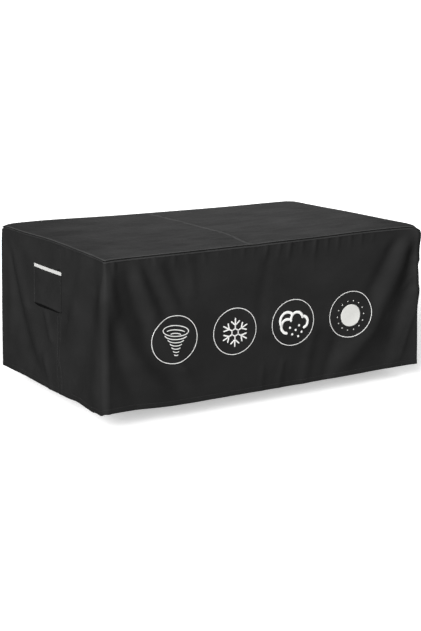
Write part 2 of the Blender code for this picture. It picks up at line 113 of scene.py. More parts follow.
# One row for each fold. A fold is a ridge, or a trough where its rise is negative. Its line
# starts at top_at, top_z and ends at low_at, low_z, and bow carries its middle sideways.
# "at" is x on the front and back walls and y on the end walls; z is below the top's face.
Fold = namedtuple("Fold", "wall top_at top_z low_at low_z bow top_width low_width rise")
FOLDS = (
    # The fan that falls from the front left corner
    Fold("front", -0.862, 0.010, -0.505, -0.740, -0.110, 0.028, 0.052, 0.0125),
    Fold("front", -0.783, 0.000, -0.435, -0.720, -0.060, 0.034, 0.058, -0.0120),
    Fold("front", -0.752, 0.010, -0.360, -0.720, -0.045, 0.030, 0.046, 0.0105),
    Fold("front", -0.700, 0.000, -0.460, -0.480, -0.012, 0.026, 0.040, -0.0060),
    Fold("front", -0.640, 0.010, -0.480, -0.360, -0.010, 0.026, 0.036, 0.0065),
    Fold("front", -0.575, 0.000, -0.470, -0.280, -0.006, 0.022, 0.030, -0.0030),
    Fold("front", -0.455, 0.010, -0.435, -0.240, 0.000, 0.024, 0.028, 0.0040),
    Fold("front", -0.835, -0.220, -0.680, -0.760, -0.045, 0.034, 0.050, -0.0095),
    # Soft folds along the middle of the front wall
    Fold("front", 0.000, -0.010, -0.080, -0.450, -0.012, 0.030, 0.044, -0.0045),
    Fold("front", -0.550, -0.460, -0.280, -0.720, -0.030, 0.022, 0.030, 0.0045),
    Fold("front", -0.490, -0.460, -0.300, -0.740, -0.040, 0.024, 0.036, -0.0045),
    Fold("front", 0.245, -0.420, 0.165, -0.760, 0.000, 0.028, 0.036, 0.0055),
    Fold("front", 0.420, -0.420, 0.295, -0.740, 0.000, 0.032, 0.042, -0.0060),
    Fold("front", 0.070, -0.560, 0.020, -0.760, 0.000, 0.016, 0.022, 0.0032),
    Fold("front", -0.050, -0.570, -0.070, -0.740, 0.000, 0.014, 0.020, 0.0025),
    # The strong fan that falls from the front right corner
    Fold("front", 0.775, -0.020, 0.485, -0.460, 0.010, 0.034, 0.052, -0.0100),
    Fold("front", 0.844, 0.010, 0.350, -0.740, 0.064, 0.044, 0.064, 0.0160),
    Fold("front", 0.884, -0.030, 0.625, -0.740, 0.050, 0.036, 0.082, -0.0130),
    Fold("front", 0.880, -0.280, 0.700, -0.760, 0.020, 0.030, 0.042, 0.0045),
    Fold("front", 0.885, -0.400, 0.765, -0.700, 0.000, 0.012, 0.016, 0.0030),
    Fold("front", 0.872, -0.245, 0.800, -0.325, 0.000, 0.012, 0.014, 0.0022),
    # The corners, where the cloth stands out
    Fold("front", 0.890, 0.060, 0.890, -0.380, 0.000, 0.036, 0.034, 0.0070),
    Fold("right", -0.503, 0.040, -0.500, -0.440, 0.000, 0.052, 0.050, 0.0210),
    Fold("front", 0.890, -0.100, 0.890, -1.000, 0.000, 0.030, 0.030, 0.0050),
    Fold("back", 0.890, 0.040, 0.890, -1.000, 0.000, 0.040, 0.030, 0.0050),
    Fold("back", -0.890, 0.060, -0.890, -1.000, 0.000, 0.036, 0.030, 0.0050),
    # The left end wall, on both sides of its vent
    Fold("left", 0.495, -0.080, 0.480, -0.620, -0.050, 0.036, 0.052, 0.0070),
    Fold("left", 0.485, -0.040, 0.120, -0.720, 0.042, 0.044, 0.084, -0.0125),
    Fold("left", 0.420, -0.050, -0.010, -0.700, 0.040, 0.046, 0.082, 0.0120),
    Fold("left", -0.370, -0.040, -0.060, -0.660, -0.020, 0.044, 0.060, 0.0115),
    Fold("left", -0.475, -0.040, -0.200, -0.740, -0.030, 0.042, 0.080, -0.0140),
    Fold("left", -0.550, -0.060, -0.475, -0.760, -0.010, 0.040, 0.090, 0.0140),
    Fold("left", 0.060, -0.310, -0.030, -0.500, 0.000, 0.022, 0.026, 0.0070),
    Fold("left", 0.055, -0.520, -0.015, -0.750, 0.000, 0.022, 0.026, 0.0050),
    # The right end wall
    Fold("right", -0.480, -0.040, -0.160, -0.700, -0.030, 0.028, 0.048, 0.0125),
    Fold("right", -0.420, -0.060, -0.080, -0.620, -0.020, 0.026, 0.040, -0.0085),
    Fold("right", 0.490, -0.030, 0.190, -0.680, 0.025, 0.028, 0.050, 0.0130),
    Fold("right", 0.430, -0.040, 0.110, -0.580, 0.020, 0.026, 0.042, -0.0080),
    Fold("right", 0.040, -0.360, -0.010, -0.760, 0.000, 0.028, 0.040, 0.0055),
    # The back wall
    Fold("back", -0.850, 0.000, -0.500, -0.740, -0.050, 0.028, 0.054, 0.0150),
    Fold("back", -0.780, -0.010, -0.400, -0.700, -0.045, 0.024, 0.042, -0.0085),
    Fold("back", -0.700, 0.000, -0.300, -0.620, -0.030, 0.026, 0.044, 0.0095),
    Fold("back", -0.180, -0.010, -0.110, -0.480, 0.010, 0.028, 0.042, -0.0050),
    Fold("back", 0.160, -0.400, 0.230, -0.760, 0.000, 0.028, 0.038, 0.0070),
    Fold("back", 0.690, -0.010, 0.360, -0.580, 0.030, 0.028, 0.046, 0.0090),
    Fold("back", 0.770, -0.010, 0.430, -0.700, 0.050, 0.026, 0.042, -0.0095),
    Fold("back", 0.845, 0.000, 0.480, -0.750, 0.070, 0.030, 0.056, 0.0170),
)
# Folds that the frame's solids leave out: low ones, and one that shows only in the right outline
SLIGHT_FOLDS = (
    Fold("front", -0.862, 0.010, -0.765, -0.420, -0.036, 0.030, 0.040, -0.0016),
    Fold("front", -0.888, -0.380, -0.888, -0.800, 0.000, 0.050, 0.055, -0.0028),
    Fold("front", 0.885, -0.170, 0.885, -0.330, 0.000, 0.032, 0.032, -0.0055),
    Fold("right", -0.520, -0.010, -0.520, -0.210, 0.000, 0.030, 0.030, 0.0110),
)
FADE_IN = 0.18  # the share of a fold's length over which it rises from the flat wall
FADE_OUT, PUCKER_FADE_OUT = 0.22, 0.85  # and that over which it sinks again, for a fold and a pucker
PRINT_CALM = 0.70  # the share of a fold's height that the stiff ink takes away
CALM_FROM, CALM_OVER = 0.85, 0.65  # in half widths of a ring, where that ends and how softly
SLACK_LENGTH, TOP_SLACK_LENGTH = 0.31, 0.27  # the longest waves of the soft unevenness
WAVE_SHRINKS, WAVE_TURNS, FIRST_TURN, WAVE_SHIFTS = 0.78, 2.4, 0.3, 1.7  # from one wave to the next
SEWN_FLAT = 0.022  # the main folds lie flat along the sewn top edge, over this depth
PUCKER_FLAT = 0.007  # and the puckers over this one, below the groove
GROOVE_BOTTOM, GROOVE_DEPTH = 0.0086, 0.0048  # the groove under the top edge
LEFT_DEEPER = 0.0055  # how much deeper it is along the left end wall
SHELF, SHELF_PROUD = 0.0026, 0.0008  # below it the seam allowance pushes the cloth out: how soon, how far
SHELF_HOLDS, SHELF_FADES = 0.0030, 0.0080  # over what depth it stays out, and goes back again

# The lip round the top edge: the top's cloth turned down and stitched. Its closed outline is in
# pairs of millimetres, out from the top's edge and up from its face.
LIP = (
    (-9.0, -0.6), (-8.4, 0.3), (-6.5, 0.9), (-4.0, 1.2), (-2.2, 1.1), (-0.8, 0.6), (0.4, -0.2),
    (1.2, -1.1), (1.3, -1.9), (0.8, -2.5), (-0.2, -2.7), (-1.4, -2.5), (-2.2, -1.8), (-2.8, -1.0),
)
# The roll below the groove, where the walls' own allowance is turned in, in the same way
ROLL = (
    (-3.5, -8.4), (0.3, -8.5), (1.9, -9.2), (2.6, -10.6), (2.6, -12.4), (2.0, -14.4), (0.8, -16.4),
    (-3.5, -17.4),
)
ROLL_SUNK = 0.0045  # how much further in it lies along the left end wall
EDGE_WAVER, EDGE_WAVES = 0.0003, ((0.021, 4), (0.16, 3))  # how far the lip and the roll waver, in and out
EDGE_GIRTH = 0.02  # the width of the cloth round either one

# The seam across the top, where the right panel laps over the left one: steeper to the left
CROSS_SEAM = (
    (-10.5, -0.5), (10.0, -0.5), (10.4, 0.1), (6.0, 0.9), (0.0, 1.9), (-3.0, 2.4), (-5.0, 2.2),
    (-7.5, 1.3), (-10.2, 0.2),
)
CROSS_SEAM_ENDS, CROSS_SEAM_STEP = 0.004, 0.009  # how far its ends stay off the edges; its divisions

# The end seams: the stitching pinches the cloth in two lines, the second one only low down.
# "aside" is how far a line lies from the seam, towards the front wall.
Pinch = namedtuple("Pinch", "aside width depth starts_z fade")
END_PINCHES = (
    Pinch(0.002, 0.0060, 0.0022, -0.015, 0.030),
    Pinch(0.044, 0.0050, 0.0016, -0.500, 0.060),
)

# Across the felled strip of an end seam: the share of its half width, and how far it stands out
FELLED = ((0.0, 0.00045), (0.85, 0.00045), (0.93, 0.0006), (0.985, 0.0003), (1.0, -0.0003))
FELLED_UNDER = 0.0006  # how far its underside is sunk in the cloth
BELOW_EDGE = -0.016  # the height at which the end seams start, under the top edge's roll
SEAM_OFF_FLAP, SEAM_OFF_STRIP, SEAM_OFF_HEM = 0.014, 0.004, 0.001  # how far they stay off these
SEAM_ROW_STEP = 0.010  # their divisions, downwards

# One row for each pucker that the sewn top edge draws into the walls
Pucker = namedtuple("Pucker", "wall at lean length width rise")
PUCKERS = (
    Pucker("front", -0.846, 0.006, 0.106, 0.0085, 0.0041),
    Pucker("front", -0.674, 0.006, 0.069, 0.0080, 0.0021),
    Pucker("front", -0.640, 0.010, 0.088, 0.0090, 0.0024),
    Pucker("front", -0.536, 0.004, 0.100, 0.0095, 0.0029),
    Pucker("front", -0.472, 0.008, 0.081, 0.0090, 0.0021),
    Pucker("front", -0.380, 0.014, 0.119, 0.0110, 0.0026),
    Pucker("front", -0.300, 0.006, 0.075, 0.0090, 0.0014),
    Pucker("front", -0.225, -0.004, 0.069, 0.0085, 0.0015),
    Pucker("front", -0.157, -0.006, 0.094, 0.0090, 0.0024),
    Pucker("front", -0.094, -0.012, 0.075, 0.0085, 0.0018),
    Pucker("front", -0.022, -0.022, 0.125, 0.0095, 0.0032),
    Pucker("front", 0.053, -0.026, 0.112, 0.0090, 0.0030),
    Pucker("front", 0.110, -0.022, 0.131, 0.0100, 0.0044),
    Pucker("front", 0.183, -0.016, 0.106, 0.0090, 0.0030),
    Pucker("front", 0.258, -0.022, 0.156, 0.0100, 0.0041),
    Pucker("front", 0.328, -0.012, 0.112, 0.0090, 0.0032),
    Pucker("front", 0.393, -0.012, 0.119, 0.0085, 0.0034),
    Pucker("front", 0.468, -0.006, 0.106, 0.0090, 0.0030),
    Pucker("front", 0.538, -0.012, 0.100, 0.0085, 0.0028),
    Pucker("front", 0.612, -0.016, 0.088, 0.0090, 0.0021),
    Pucker("left", 0.420, -0.006, 0.081, 0.0095, 0.0021),
    Pucker("left", 0.335, 0.004, 0.069, 0.0085, 0.0015),
    Pucker("left", -0.180, 0.004, 0.088, 0.0100, 0.0021),
    Pucker("left", -0.265, 0.008, 0.100, 0.0095, 0.0024),
    Pucker("left", -0.345, 0.010, 0.075, 0.0085, 0.0018),
)
# The walls away from the prints pucker by a rule: first and last place, and about how far apart
PUCKER_SPANS = (("right", -0.46, 0.47, 0.078), ("back", -0.80, 0.80, 0.074))
# It has one row for each of their shift, lean, length, width and rise, which swing round their mean
# as a sine, turned by "turn" radians from one pucker to the next
Rule = namedtuple("Rule", "mean change turn")
PUCKER_RULE = (
    Rule(0.0, 0.012, 2.4), Rule(0.0, 0.010, 1.3), Rule(0.080, 0.022, 2.4), Rule(0.0092, 0.0008, 2.4),
    Rule(0.0022, 0.0009, 3.9),
)
PUCKER_HEAD, PUCKER_SPREAD = 0.02, 1.5  # they start above the edge, and widen downwards
PUCKER_GAIN = 1.25  # the roll hides the heads of the puckers, which stand out more below it

# One row for each swell of the top, whose supports stand at uneven heights
Swell = namedtuple("Swell", "x y reach_x reach_y rise")
TOP_RAISED = 0.0018  # how far the cloth arches up from the frame's flat face
SWELLS = (
    Swell(-0.890, 0.000, 0.280, 0.330, 0.0090),
    Swell(-0.700, 0.550, 0.360, 0.220, 0.0100),
    Swell(0.450, 0.550, 0.420, 0.260, -0.0045),
    Swell(0.600, -0.550, 0.260, 0.160, 0.0055),
    Swell(0.890, 0.350, 0.200, 0.250, -0.0030),
    Swell(-0.895, -0.060, 0.080, 0.480, 0.0040),
    Swell(-0.090, -0.440, 0.045, 0.110, -0.0040),
    Swell(-0.450, -0.560, 0.400, 0.150, -0.0016),
)

# One row for each stretch of hem that hangs higher or lower than the rest
Lift = namedtuple("Lift", "wall at reach rise")
HEM_LIFTS = (
    Lift("front", -0.830, 0.210, 0.0138),
    Lift("front", 0.700, 0.160, 0.0020),
    Lift("left", -0.515, 0.040, -0.0118),
    Lift("left", -0.440, 0.030, -0.0072),
    Lift("front", -0.895, 0.014, 0.0048),
    Lift("left", 0.000, 0.250, -0.0020),
    Lift("left", 0.480, 0.120, -0.0045),
    Lift("left", -0.270, 0.060, 0.0045),
    Lift("left", -0.400, 0.050, -0.0050),
    Lift("right", 0.200, 0.150, 0.0030),
    Lift("back", 0.450, 0.200, 0.0030),
    Lift("back", -0.500, 0.200, -0.0030),
)

HEM_SOFTNESS = 0.002  # over this height the doubled hem thickens the wall
HEM_PINCH, HEM_PINCH_REACH = 0.0004, 0.004  # how far its stitching draws the cloth in
RIPPLE, RIPPLE_REACH = 0.0007, 0.06  # the slight waves of the free hem, and how far up they go
RIPPLE_LENGTH, RIPPLE_STRETCH = 0.085, 0.3

# The wrinkles of the top, which run along the cover: how far apart, how much longer, how high
WRINKLE_LENGTH, WRINKLE_STRETCH, WRINKLE_RISE = 0.130, 2.6, 0.0042
SEWN_EDGE = 0.05  # they lie flat along the sewn edges, over this distance
SEAM_HOLDS, SEAM_REACH = 0.3, 0.04  # and lower along the seam across the top

# How finely the cloth is divided
COLUMN_STEP = 0.0075
CORNER_REACH, CORNER_STEP = 0.026, 0.0026
LIP_DEPTHS = (0.0, 0.0024, 0.0050, 0.0070)  # behind the lip and in the groove
SHELF_STEP = 0.0014
BELOW_ROLL = 0.0190
PUCKER_DEPTH, PUCKER_STEP = 0.110, 0.0050
WALL_STEP = 0.0085
HEM_FINE, HEM_STEP = 0.008, 0.0045  # the rows are fine from this far above the hem's stitching
SEAM_ASIDE, SEAM_HALF = 0.017, 0.020  # the felled strip's middle beside its seam, and half its width
SEAM_SPAN, SEAM_STEP = (-0.014, 0.056), 0.0028  # round each end seam
END_SEAM_GAP, CLEAR_OF_SEAM = 0.0002, 0.004  # half the gap in it, and where the even columns start
TOP_STEP, TOP_SEAM_GAP = 0.0085, 0.0003
CORNER_ROWS, CORNER_ROWS_REACH = 6, 0.032  # finer rows at the front and back edges of the top

# The prints: one row for each ring on the front wall, with z below the top's face
Ring = namedtuple("Ring", "motif x z half_width half_height turn")
RINGS = (
    Ring("whirl", -0.536, -0.401, 0.1185, 0.1110, 6.0),
    Ring("snowflake", -0.210, -0.403, 0.1180, 0.1100, 6.0),
    Ring("cloud", 0.1205, -0.401, 0.1210, 0.1115, 6.0),
    Ring("sun", 0.466, -0.402, 0.1280, 0.1140, 6.0),
)

# The cloth's finishes: the colour of each, its shine, and how much its cloudy tone changes darken and
# lighten it. The walls' coating is duller. The top's colour is lighter than the walls' as painted light
# from above, and the raised seams and the roll are lighter still, as painted highlights along them.
Cloth = namedtuple("Cloth", "colour shine clouds")
CLOTHS = {
    "walls": Cloth("cloth", 0.04, 0.14),
    "top": Cloth("top", 0.12, 0.34),
    "rubbed_edge": Cloth("edge", 0.12, 0.14),
    "rubbed_roll": Cloth("roll", 0.04, 0.14),
}

# The stage. Each sun's direction is the way to it from the cover, and its spread is in degrees.
Sun = namedtuple("Sun", "name spread direction")
SUNS = (Sun("key", 26, (-0.69, -0.575, 0.36)), Sun("bounce", 20, (0.60, 0.75, -0.26)))
BACK_LIGHT_AT, BACK_LIGHT_AIM, BACK_LIGHT_SIZE = (1.10, 1.65, 0.80), (-0.10, -0.05, 0.0), (1.9, 0.9)
SKY_HEIGHTS, SKY_AT_HORIZON = (0.35, 0.85), 0.10  # where it grows bright, and its share low down
FLOOR_REACH, FLOOR_DIVISIONS = 60.0, 121
FLOOR_RISE, FLOOR_LEVEL, FLOOR_CURVE = 30.0, 35.0, 30.0  # it is level up to there, then curves up
LENS_MM, SENSOR_MM = 78.31, 36.0
CAMERA_AIM = (-0.0102, -0.0202, -0.4525)


def linear(hexadecimal):
    """A linear RGBA colour from an sRGB hex value such as 2B2B2C."""
    parts = [int(hexadecimal[start : start + 2], 16) / 255 for start in (0, 2, 4)]
    rgb = [part / 12.92 if part <= 0.04045 else ((part + 0.055) / 1.055) ** 2.4 for part in parts]
    return (*rgb, 1.0)


class CoverSizes(bpy.types.PropertyGroup):
    """The sizes of the sewn cover."""

    drop: bpy.props.FloatProperty(
        name="Drop", description="Height of the walls, from the top's face to the hem",
        default=FRAME_DROP, min=0.3, max=1.2, unit="LENGTH")
    flare: bpy.props.FloatProperty(
        name="Flare", description="How far each wall leans out by the time it reaches the hem",
        default=FRAME_FLARE, min=0.0, max=0.1, unit="LENGTH")
    cloth: bpy.props.FloatProperty(
        name="Cloth", description="Thickness of the coated cloth",
        default=0.0008, min=0.0003, max=0.003, unit="LENGTH")
    hem: bpy.props.FloatProperty(
        name="Hem", description="Depth of the turned hem",
        default=0.025, min=0.005, max=0.08, unit="LENGTH")
    hem_proud: bpy.props.FloatProperty(
        name="Hem stands out", description="How far the doubled hem stands out from the wall",
        default=0.0005, min=0.0, max=0.003, unit="LENGTH")
    slack: bpy.props.FloatProperty(
        name="Slack", description="Height of the soft unevenness all over the cloth",
        default=0.0008, min=0.0, max=0.01, unit="LENGTH")


class StitchSizes(bpy.types.PropertyGroup):
    """The sizes of the stitching, which is a little coarser than life, so that it shows."""

    pitch: bpy.props.FloatProperty(
        name="Pitch", description="Distance from one stitch to the next",
        default=0.0048, min=0.002, max=0.02, unit="LENGTH")
    length: bpy.props.FloatProperty(
        name="Length", description="Length of a stitch",
        default=0.0036, min=0.001, max=0.02, unit="LENGTH")
    thread: bpy.props.FloatProperty(
        name="Thread", description="Width of the sewing thread",
        default=0.0008, min=0.0002, max=0.003, unit="LENGTH")


class PrintSizes(bpy.types.PropertyGroup):
    """The sizes of the printed rings and their motifs."""

    ring_line: bpy.props.FloatProperty(
        name="Ring line", description="Width of a printed ring's line",
        default=0.0032, min=0.001, max=0.02, unit="LENGTH")
    motif_line: bpy.props.FloatProperty(
        name="Motif line", description="Width of the thin lines in the motifs",
        default=0.0039, min=0.001, max=0.02, unit="LENGTH")
    bold_line: bpy.props.FloatProperty(
        name="Bold line", description="Width of the bold lines in the motifs",
        default=0.0068, min=0.001, max=0.03, unit="LENGTH")
    proud: bpy.props.FloatProperty(
        name="Ink", description="How far the ink's face stands proud of the cloth",
        default=0.00045, min=0.0001, max=0.002, unit="LENGTH")


class CoverColours(bpy.types.PropertyGroup):
    """The colours of the cover."""

    cloth: bpy.props.FloatVectorProperty(
        name="Cloth", description="The coated cloth of the walls", subtype="COLOR",
        size=4, min=0, max=1, default=linear("262626"))
    # painted light: the top's cloth gets a lighter colour than the walls', standing for the stronger light
    # that falls on the top
    top: bpy.props.FloatVectorProperty(
        name="Top", description="The coated cloth of the top", subtype="COLOR",
        size=4, min=0, max=1, default=linear("2E2E2E"))
    # painted highlight: the lip round the top edge and the seam across the top get a lighter colour than the
    # top's cloth, for the light line along them
    edge: bpy.props.FloatVectorProperty(
        name="Edges", description="The rubbed cloth along the raised seams of the top", subtype="COLOR",
        size=4, min=0, max=1, default=linear("404040"))
    # painted highlight: the roll below the top edge gets a lighter colour than the walls, for the light line
    # along it
    roll: bpy.props.FloatVectorProperty(
        name="Roll", description="The rubbed cloth of the roll below the top edge", subtype="COLOR",
        size=4, min=0, max=1, default=linear("383838"))
    strip: bpy.props.FloatVectorProperty(
        name="Strip", description="The woven strip over the vent", subtype="COLOR",
        size=4, min=0, max=1, default=linear("CCCCCA"))
    # The net's near-black is partly its own colour and partly painted shade, where it shows below the flap's
    # edge
    net: bpy.props.FloatVectorProperty(
        name="Net", description="The mesh net behind the vent's flap", subtype="COLOR",
        size=4, min=0, max=1, default=linear("131313"))
    ink: bpy.props.FloatVectorProperty(
        name="Ink", description="The printed rings and motifs", subtype="COLOR",
        size=4, min=0, max=1, default=linear("F6F6F4"))
    disc: bpy.props.FloatVectorProperty(
        name="Disc ink", description="The solid disc and its dots, whose ink is laid on thinner",
        subtype="COLOR", size=4, min=0, max=1, default=linear("DEDEDA"))
    thread: bpy.props.FloatVectorProperty(
        name="Thread", description="The sewing thread", subtype="COLOR",
        size=4, min=0, max=1, default=linear("303030"))


class StageSettings(bpy.types.PropertyGroup):
    """The floor, the light and the camera."""

    below_hem: bpy.props.FloatProperty(
        name="Floor below hem", description="How far the floor lies below the hem",
        default=0.085, min=0.0, max=0.5, unit="LENGTH")
    key: bpy.props.FloatProperty(
        name="Key light", description="Strength of the soft light from the front left",
        default=5.25, min=0.0, max=20.0)
    back: bpy.props.FloatProperty(
        name="Back light", description="Power of the soft box behind the cover, in watts",
        default=3.7, min=0.0, max=500.0)
    bounce: bpy.props.FloatProperty(
        name="Bounce", description="Strength of the light that the floor throws up on the far walls",
        default=2.6, min=0.0, max=20.0)
    sky: bpy.props.FloatProperty(
        name="Sky", description="Strength of the light from overhead",
        default=0.40, min=0.0, max=5.0)
    azimuth: bpy.props.FloatProperty(
        name="Azimuth", description="Where the camera stands round the cover",
        default=radians(-32.0164), subtype="ANGLE", unit="ROTATION")
    elevation: bpy.props.FloatProperty(
        name="Elevation", description="How far the camera stands above the horizon",
        default=radians(12.7691), subtype="ANGLE", unit="ROTATION")
    distance: bpy.props.FloatProperty(
        name="Distance", description="From the camera to the point it aims at",
        default=6.972, min=1.0, max=50.0, unit="LENGTH")


# Shapes


def smooth(share):
    """0 below 0, 1 above 1, and an S-curve between."""
    share = np.clip(share, 0.0, 1.0)
    return share * share * (3.0 - 2.0 * share)


def bell(distance, width):
    """1 at a distance of 0, falling off to both sides as a Gaussian."""
    return np.exp(-((distance / width) ** 2))


def spaced(start, end, step):
    """Evenly spaced values from start to end, about step apart, both ends included."""
    return np.linspace(start, end, max(2, round(abs(end - start) / step) + 1))


def unevenness(u, v, longest, waves=8):
    """A sum of sine waves in turning directions, each shorter and lower than the last, from -1 to 1."""
    total, most = 0.0, 0.0
    for wave in range(waves):
        length = longest * WAVE_SHRINKS**wave
        turn = WAVE_TURNS * wave + FIRST_TURN
        phase = tau * (u * cos(turn) + v * sin(turn)) / length + WAVE_SHIFTS * wave
        total = total + length * np.sin(phase)
        most += length
    return total / most


def run_of(wall_name, at):
    """The run of a place on a wall, from its x or its y."""
    wall = next(wall for wall in WALLS if wall.name == wall_name)
    return wall.middle + np.asarray(at) * (wall.onward[0] + wall.onward[1])


def round_gap(run, other):
    """The signed distance from one run to another, the shorter way round."""
    return (run - other + ROUND / 2) % ROUND - ROUND / 2


def corner_radius(name, share):
    """The radius of an upright corner at a share of the way down."""
    corner = next(corner for corner in CORNERS if corner.name == name)
    return corner.top_radius + (corner.hem_radius - corner.top_radius) * np.clip(share, 0.0, 1.0)


def wall_plan(sizes, run, depth):
    """The bare wall's plan position and its outward direction, with no folds.

    The plan is a rectangle, wider by the flare at the hem, whose corners are arcs. Near a corner
    the run turns into the arc's angle, and along a wall it is stretched evenly.
    """
    run, depth = np.broadcast_arrays(np.asarray(run, float), np.asarray(depth, float))
    place = np.zeros(run.shape + (2,))
    outward = np.zeros(run.shape + (2,))
    share = depth / sizes.drop
    lean = sizes.flare * share
    for wall in WALLS:
        along = round_gap(run, wall.middle)
        onward = np.sign(along)
        first, last = (corner_radius(name, share) for name in (wall.first_corner, wall.last_corner))
        radius = np.where(along < 0, first, last)
        bend = radius * pi / 4
        angle = np.clip((np.abs(along) - wall.half + bend) / bend, 0.0, 1.0) * pi / 4
        half, other = wall.half + lean, wall.other + lean
        straight = np.minimum(np.abs(along), wall.half - bend) * (half - radius) / (wall.half - bend)
        sideways = onward * (straight + radius * np.sin(angle))
        out = other - radius + radius * np.cos(angle)
        here = np.abs(along) <= wall.half + 1e-9
        for axis in (0, 1):
            position = wall.onward[axis] * sideways + wall.outward[axis] * out
            direction = wall.onward[axis] * onward * np.sin(angle) + wall.outward[axis] * np.cos(angle)
            place[..., axis] = np.where(here, position, place[..., axis])
            outward[..., axis] = np.where(here, direction, outward[..., axis])
    return place, outward


def on_left_end(run):
    """1 along the left end wall, falling to 0 at its two corners."""
    past_corner = np.abs(round_gap(run, run_of("left", 0.0))) - HALF_WIDTH
    return 1.0 - smooth(past_corner / END_BLEND + 1.0)


def near_vent(run, z):
    """1 on the flat ground of the vent, falling to 0 outside it. z is below the top's face."""
    y = -round_gap(run, run_of("left", 0.0))
    beside = np.maximum(y - STRIP_HIGH.y, FLAP_LOW.y - y)
    above = z - STRIP_HIGH.z + FRAME_SHEET
    below = FLAP_LOW.z - FRAME_SHEET - z
    around = 1.0 - smooth((np.maximum(beside, above) - FLAT_MARGIN) / FLAT_FADE)
    return around * (1.0 - smooth((below - BELOW_MARGIN) / BELOW_FADE))


def fold_bell(fold, run, z, fade_out=FADE_OUT):
    """One fold: a bell across its bowed line, faded in and out along it."""
    share = (fold.top_z - z) / (fold.top_z - fold.low_z)
    inside = np.clip(share, 0.0, 1.0)
    middle = fold.top_at + (fold.low_at - fold.top_at) * inside + fold.bow * 4 * inside * (1 - inside)
    slope = (fold.low_at - fold.top_at + fold.bow * 4 * (1 - 2 * inside)) / (fold.top_z - fold.low_z)
    width = fold.top_width + (fold.low_width - fold.top_width) * inside
    across = round_gap(run, run_of(fold.wall, middle)) / np.sqrt(1 + slope**2)
    strength = smooth(share / FADE_IN) * smooth((1 - share) / fade_out)
    return fold.rise * strength * bell(across, width)


def print_calm(run, z):
    """1 away from the prints, and less under each one, where the cured ink stiffens the cloth."""
    calm = 1.0
    for ring in RINGS:
        away = np.hypot(round_gap(run, ring.x) / ring.half_width, (z - ring.z) / ring.half_height)
        calm = calm * (1.0 - PRINT_CALM * (1.0 - smooth((away - CALM_FROM) / CALM_OVER)))
    return calm


def all_puckers():
    """The puckers as short folds: the listed ones, and those that a rule sets along the other walls."""
    puckers = list(PUCKERS)
    for wall, first, last, apart in PUCKER_SPANS:
        for order, at in enumerate(spaced(first, last, apart)):
            shift, *others = (row.mean + row.change * sin(row.turn * order) for row in PUCKER_RULE)
            puckers.append(Pucker(wall, at + shift, *others))
    return [
        Fold(p.wall, p.at, PUCKER_HEAD, p.at + p.lean, -p.length, 0.0, p.width, p.width * PUCKER_SPREAD,
             p.rise * PUCKER_GAIN)
        for p in puckers
    ]


def end_pinches(run, z):
    """How deep the stitching of the end seams draws the cloth in: a bell across each line."""
    depth = 0.0
    for wall, onward in (("left", 1), ("right", -1)):
        aside = onward * round_gap(run, run_of(wall, END_SEAM_Y))
        for pinch in END_PINCHES:
            held = smooth((pinch.starts_z - z) / pinch.fade)
            depth = depth + pinch.depth * held * bell(aside - pinch.aside, pinch.width)
    return depth


def edge_height(sizes, run):
    """The height of the top's face along its edge."""
    plan, _ = wall_plan(sizes, run, 0.0)
    return top_height(plan[..., 0], plan[..., 1])


def cloth_rise(sizes, run, z):
    """How far the cloth stands out from the bare wall.

    The folds, the puckers and the soft slack add up, and the vent's ground stays flat. Under the
    top edge the seam draws the wall in to a groove, below which its allowance makes a low shelf.
    The hem is one cloth thicker below its stitching.
    """
    fold_z = z - FRAME_SHEET
    below_edge = edge_height(sizes, run) - z
    past_groove = below_edge - GROOVE_BOTTOM
    above_hem = z - hem_height(sizes, run)
    main = sum(fold_bell(fold, run, fold_z) for fold in FOLDS + SLIGHT_FOLDS) * smooth(-fold_z / SEWN_FLAT)
    main = main * print_calm(run, fold_z)
    puckers = sum(fold_bell(fold, run, -below_edge, PUCKER_FADE_OUT) for fold in all_puckers())
    fine = (puckers - end_pinches(run, fold_z)) * smooth(past_groove / PUCKER_FLAT)
    soft = sizes.slack * unevenness(run, z, SLACK_LENGTH) * smooth(below_edge / SEWN_FLAT)
    ripple = RIPPLE * unevenness(run, z * RIPPLE_STRETCH, RIPPLE_LENGTH, 5)
    ripple = ripple * smooth(1 - above_hem / RIPPLE_REACH)
    groove = -(GROOVE_DEPTH + LEFT_DEEPER * on_left_end(run)) * (1.0 - smooth(past_groove / SHELF))
    shelf = smooth(past_groove / SHELF) * (1.0 - smooth((past_groove - SHELF_HOLDS) / SHELF_FADES))
    doubled = sizes.hem_proud * smooth((sizes.hem - above_hem) / HEM_SOFTNESS)
    pinch = -HEM_PINCH * bell(above_hem - sizes.hem, HEM_PINCH_REACH)
    free = (main + fine + soft + ripple) * (1.0 - near_vent(run, fold_z))
    return free + groove + SHELF_PROUD * shelf + doubled + pinch


def top_height(x, y):
    """The height of the top's face over the plan: its swells, less the drop over each corner."""
    height = np.full(np.broadcast(x, y).shape, FRAME_SHEET + TOP_RAISED)
    for swell in SWELLS:
        height += swell.rise * bell((x - swell.x) / swell.reach_x, 1) * bell((y - swell.y) / swell.reach_y, 1)
    for corner in CORNERS:
        away = np.hypot(x - corner.x * HALF_LENGTH, y - corner.y * HALF_WIDTH)
        height -= corner.drop * np.exp(-away / corner.reach)
    return height


def hem_height(sizes, run):
    """The height of the hem along the run."""
    height = np.full(np.shape(run), FRAME_SHEET - sizes.drop)
    for lift in HEM_LIFTS:
        height += lift.rise * bell(round_gap(run, run_of(lift.wall, lift.at)), lift.reach)
    return height


def skirt_face(sizes, run, z):
    """Points on the walls' outer face: the bare wall carried out along its normal by the cloth's rise."""
    run, z = np.broadcast_arrays(np.asarray(run, float), np.asarray(z, float))
    plan, outward = wall_plan(sizes, run, FRAME_SHEET - z)
    plan = plan + outward * cloth_rise(sizes, run, z)[..., None]
    return np.concatenate([plan, z[..., None]], axis=-1)


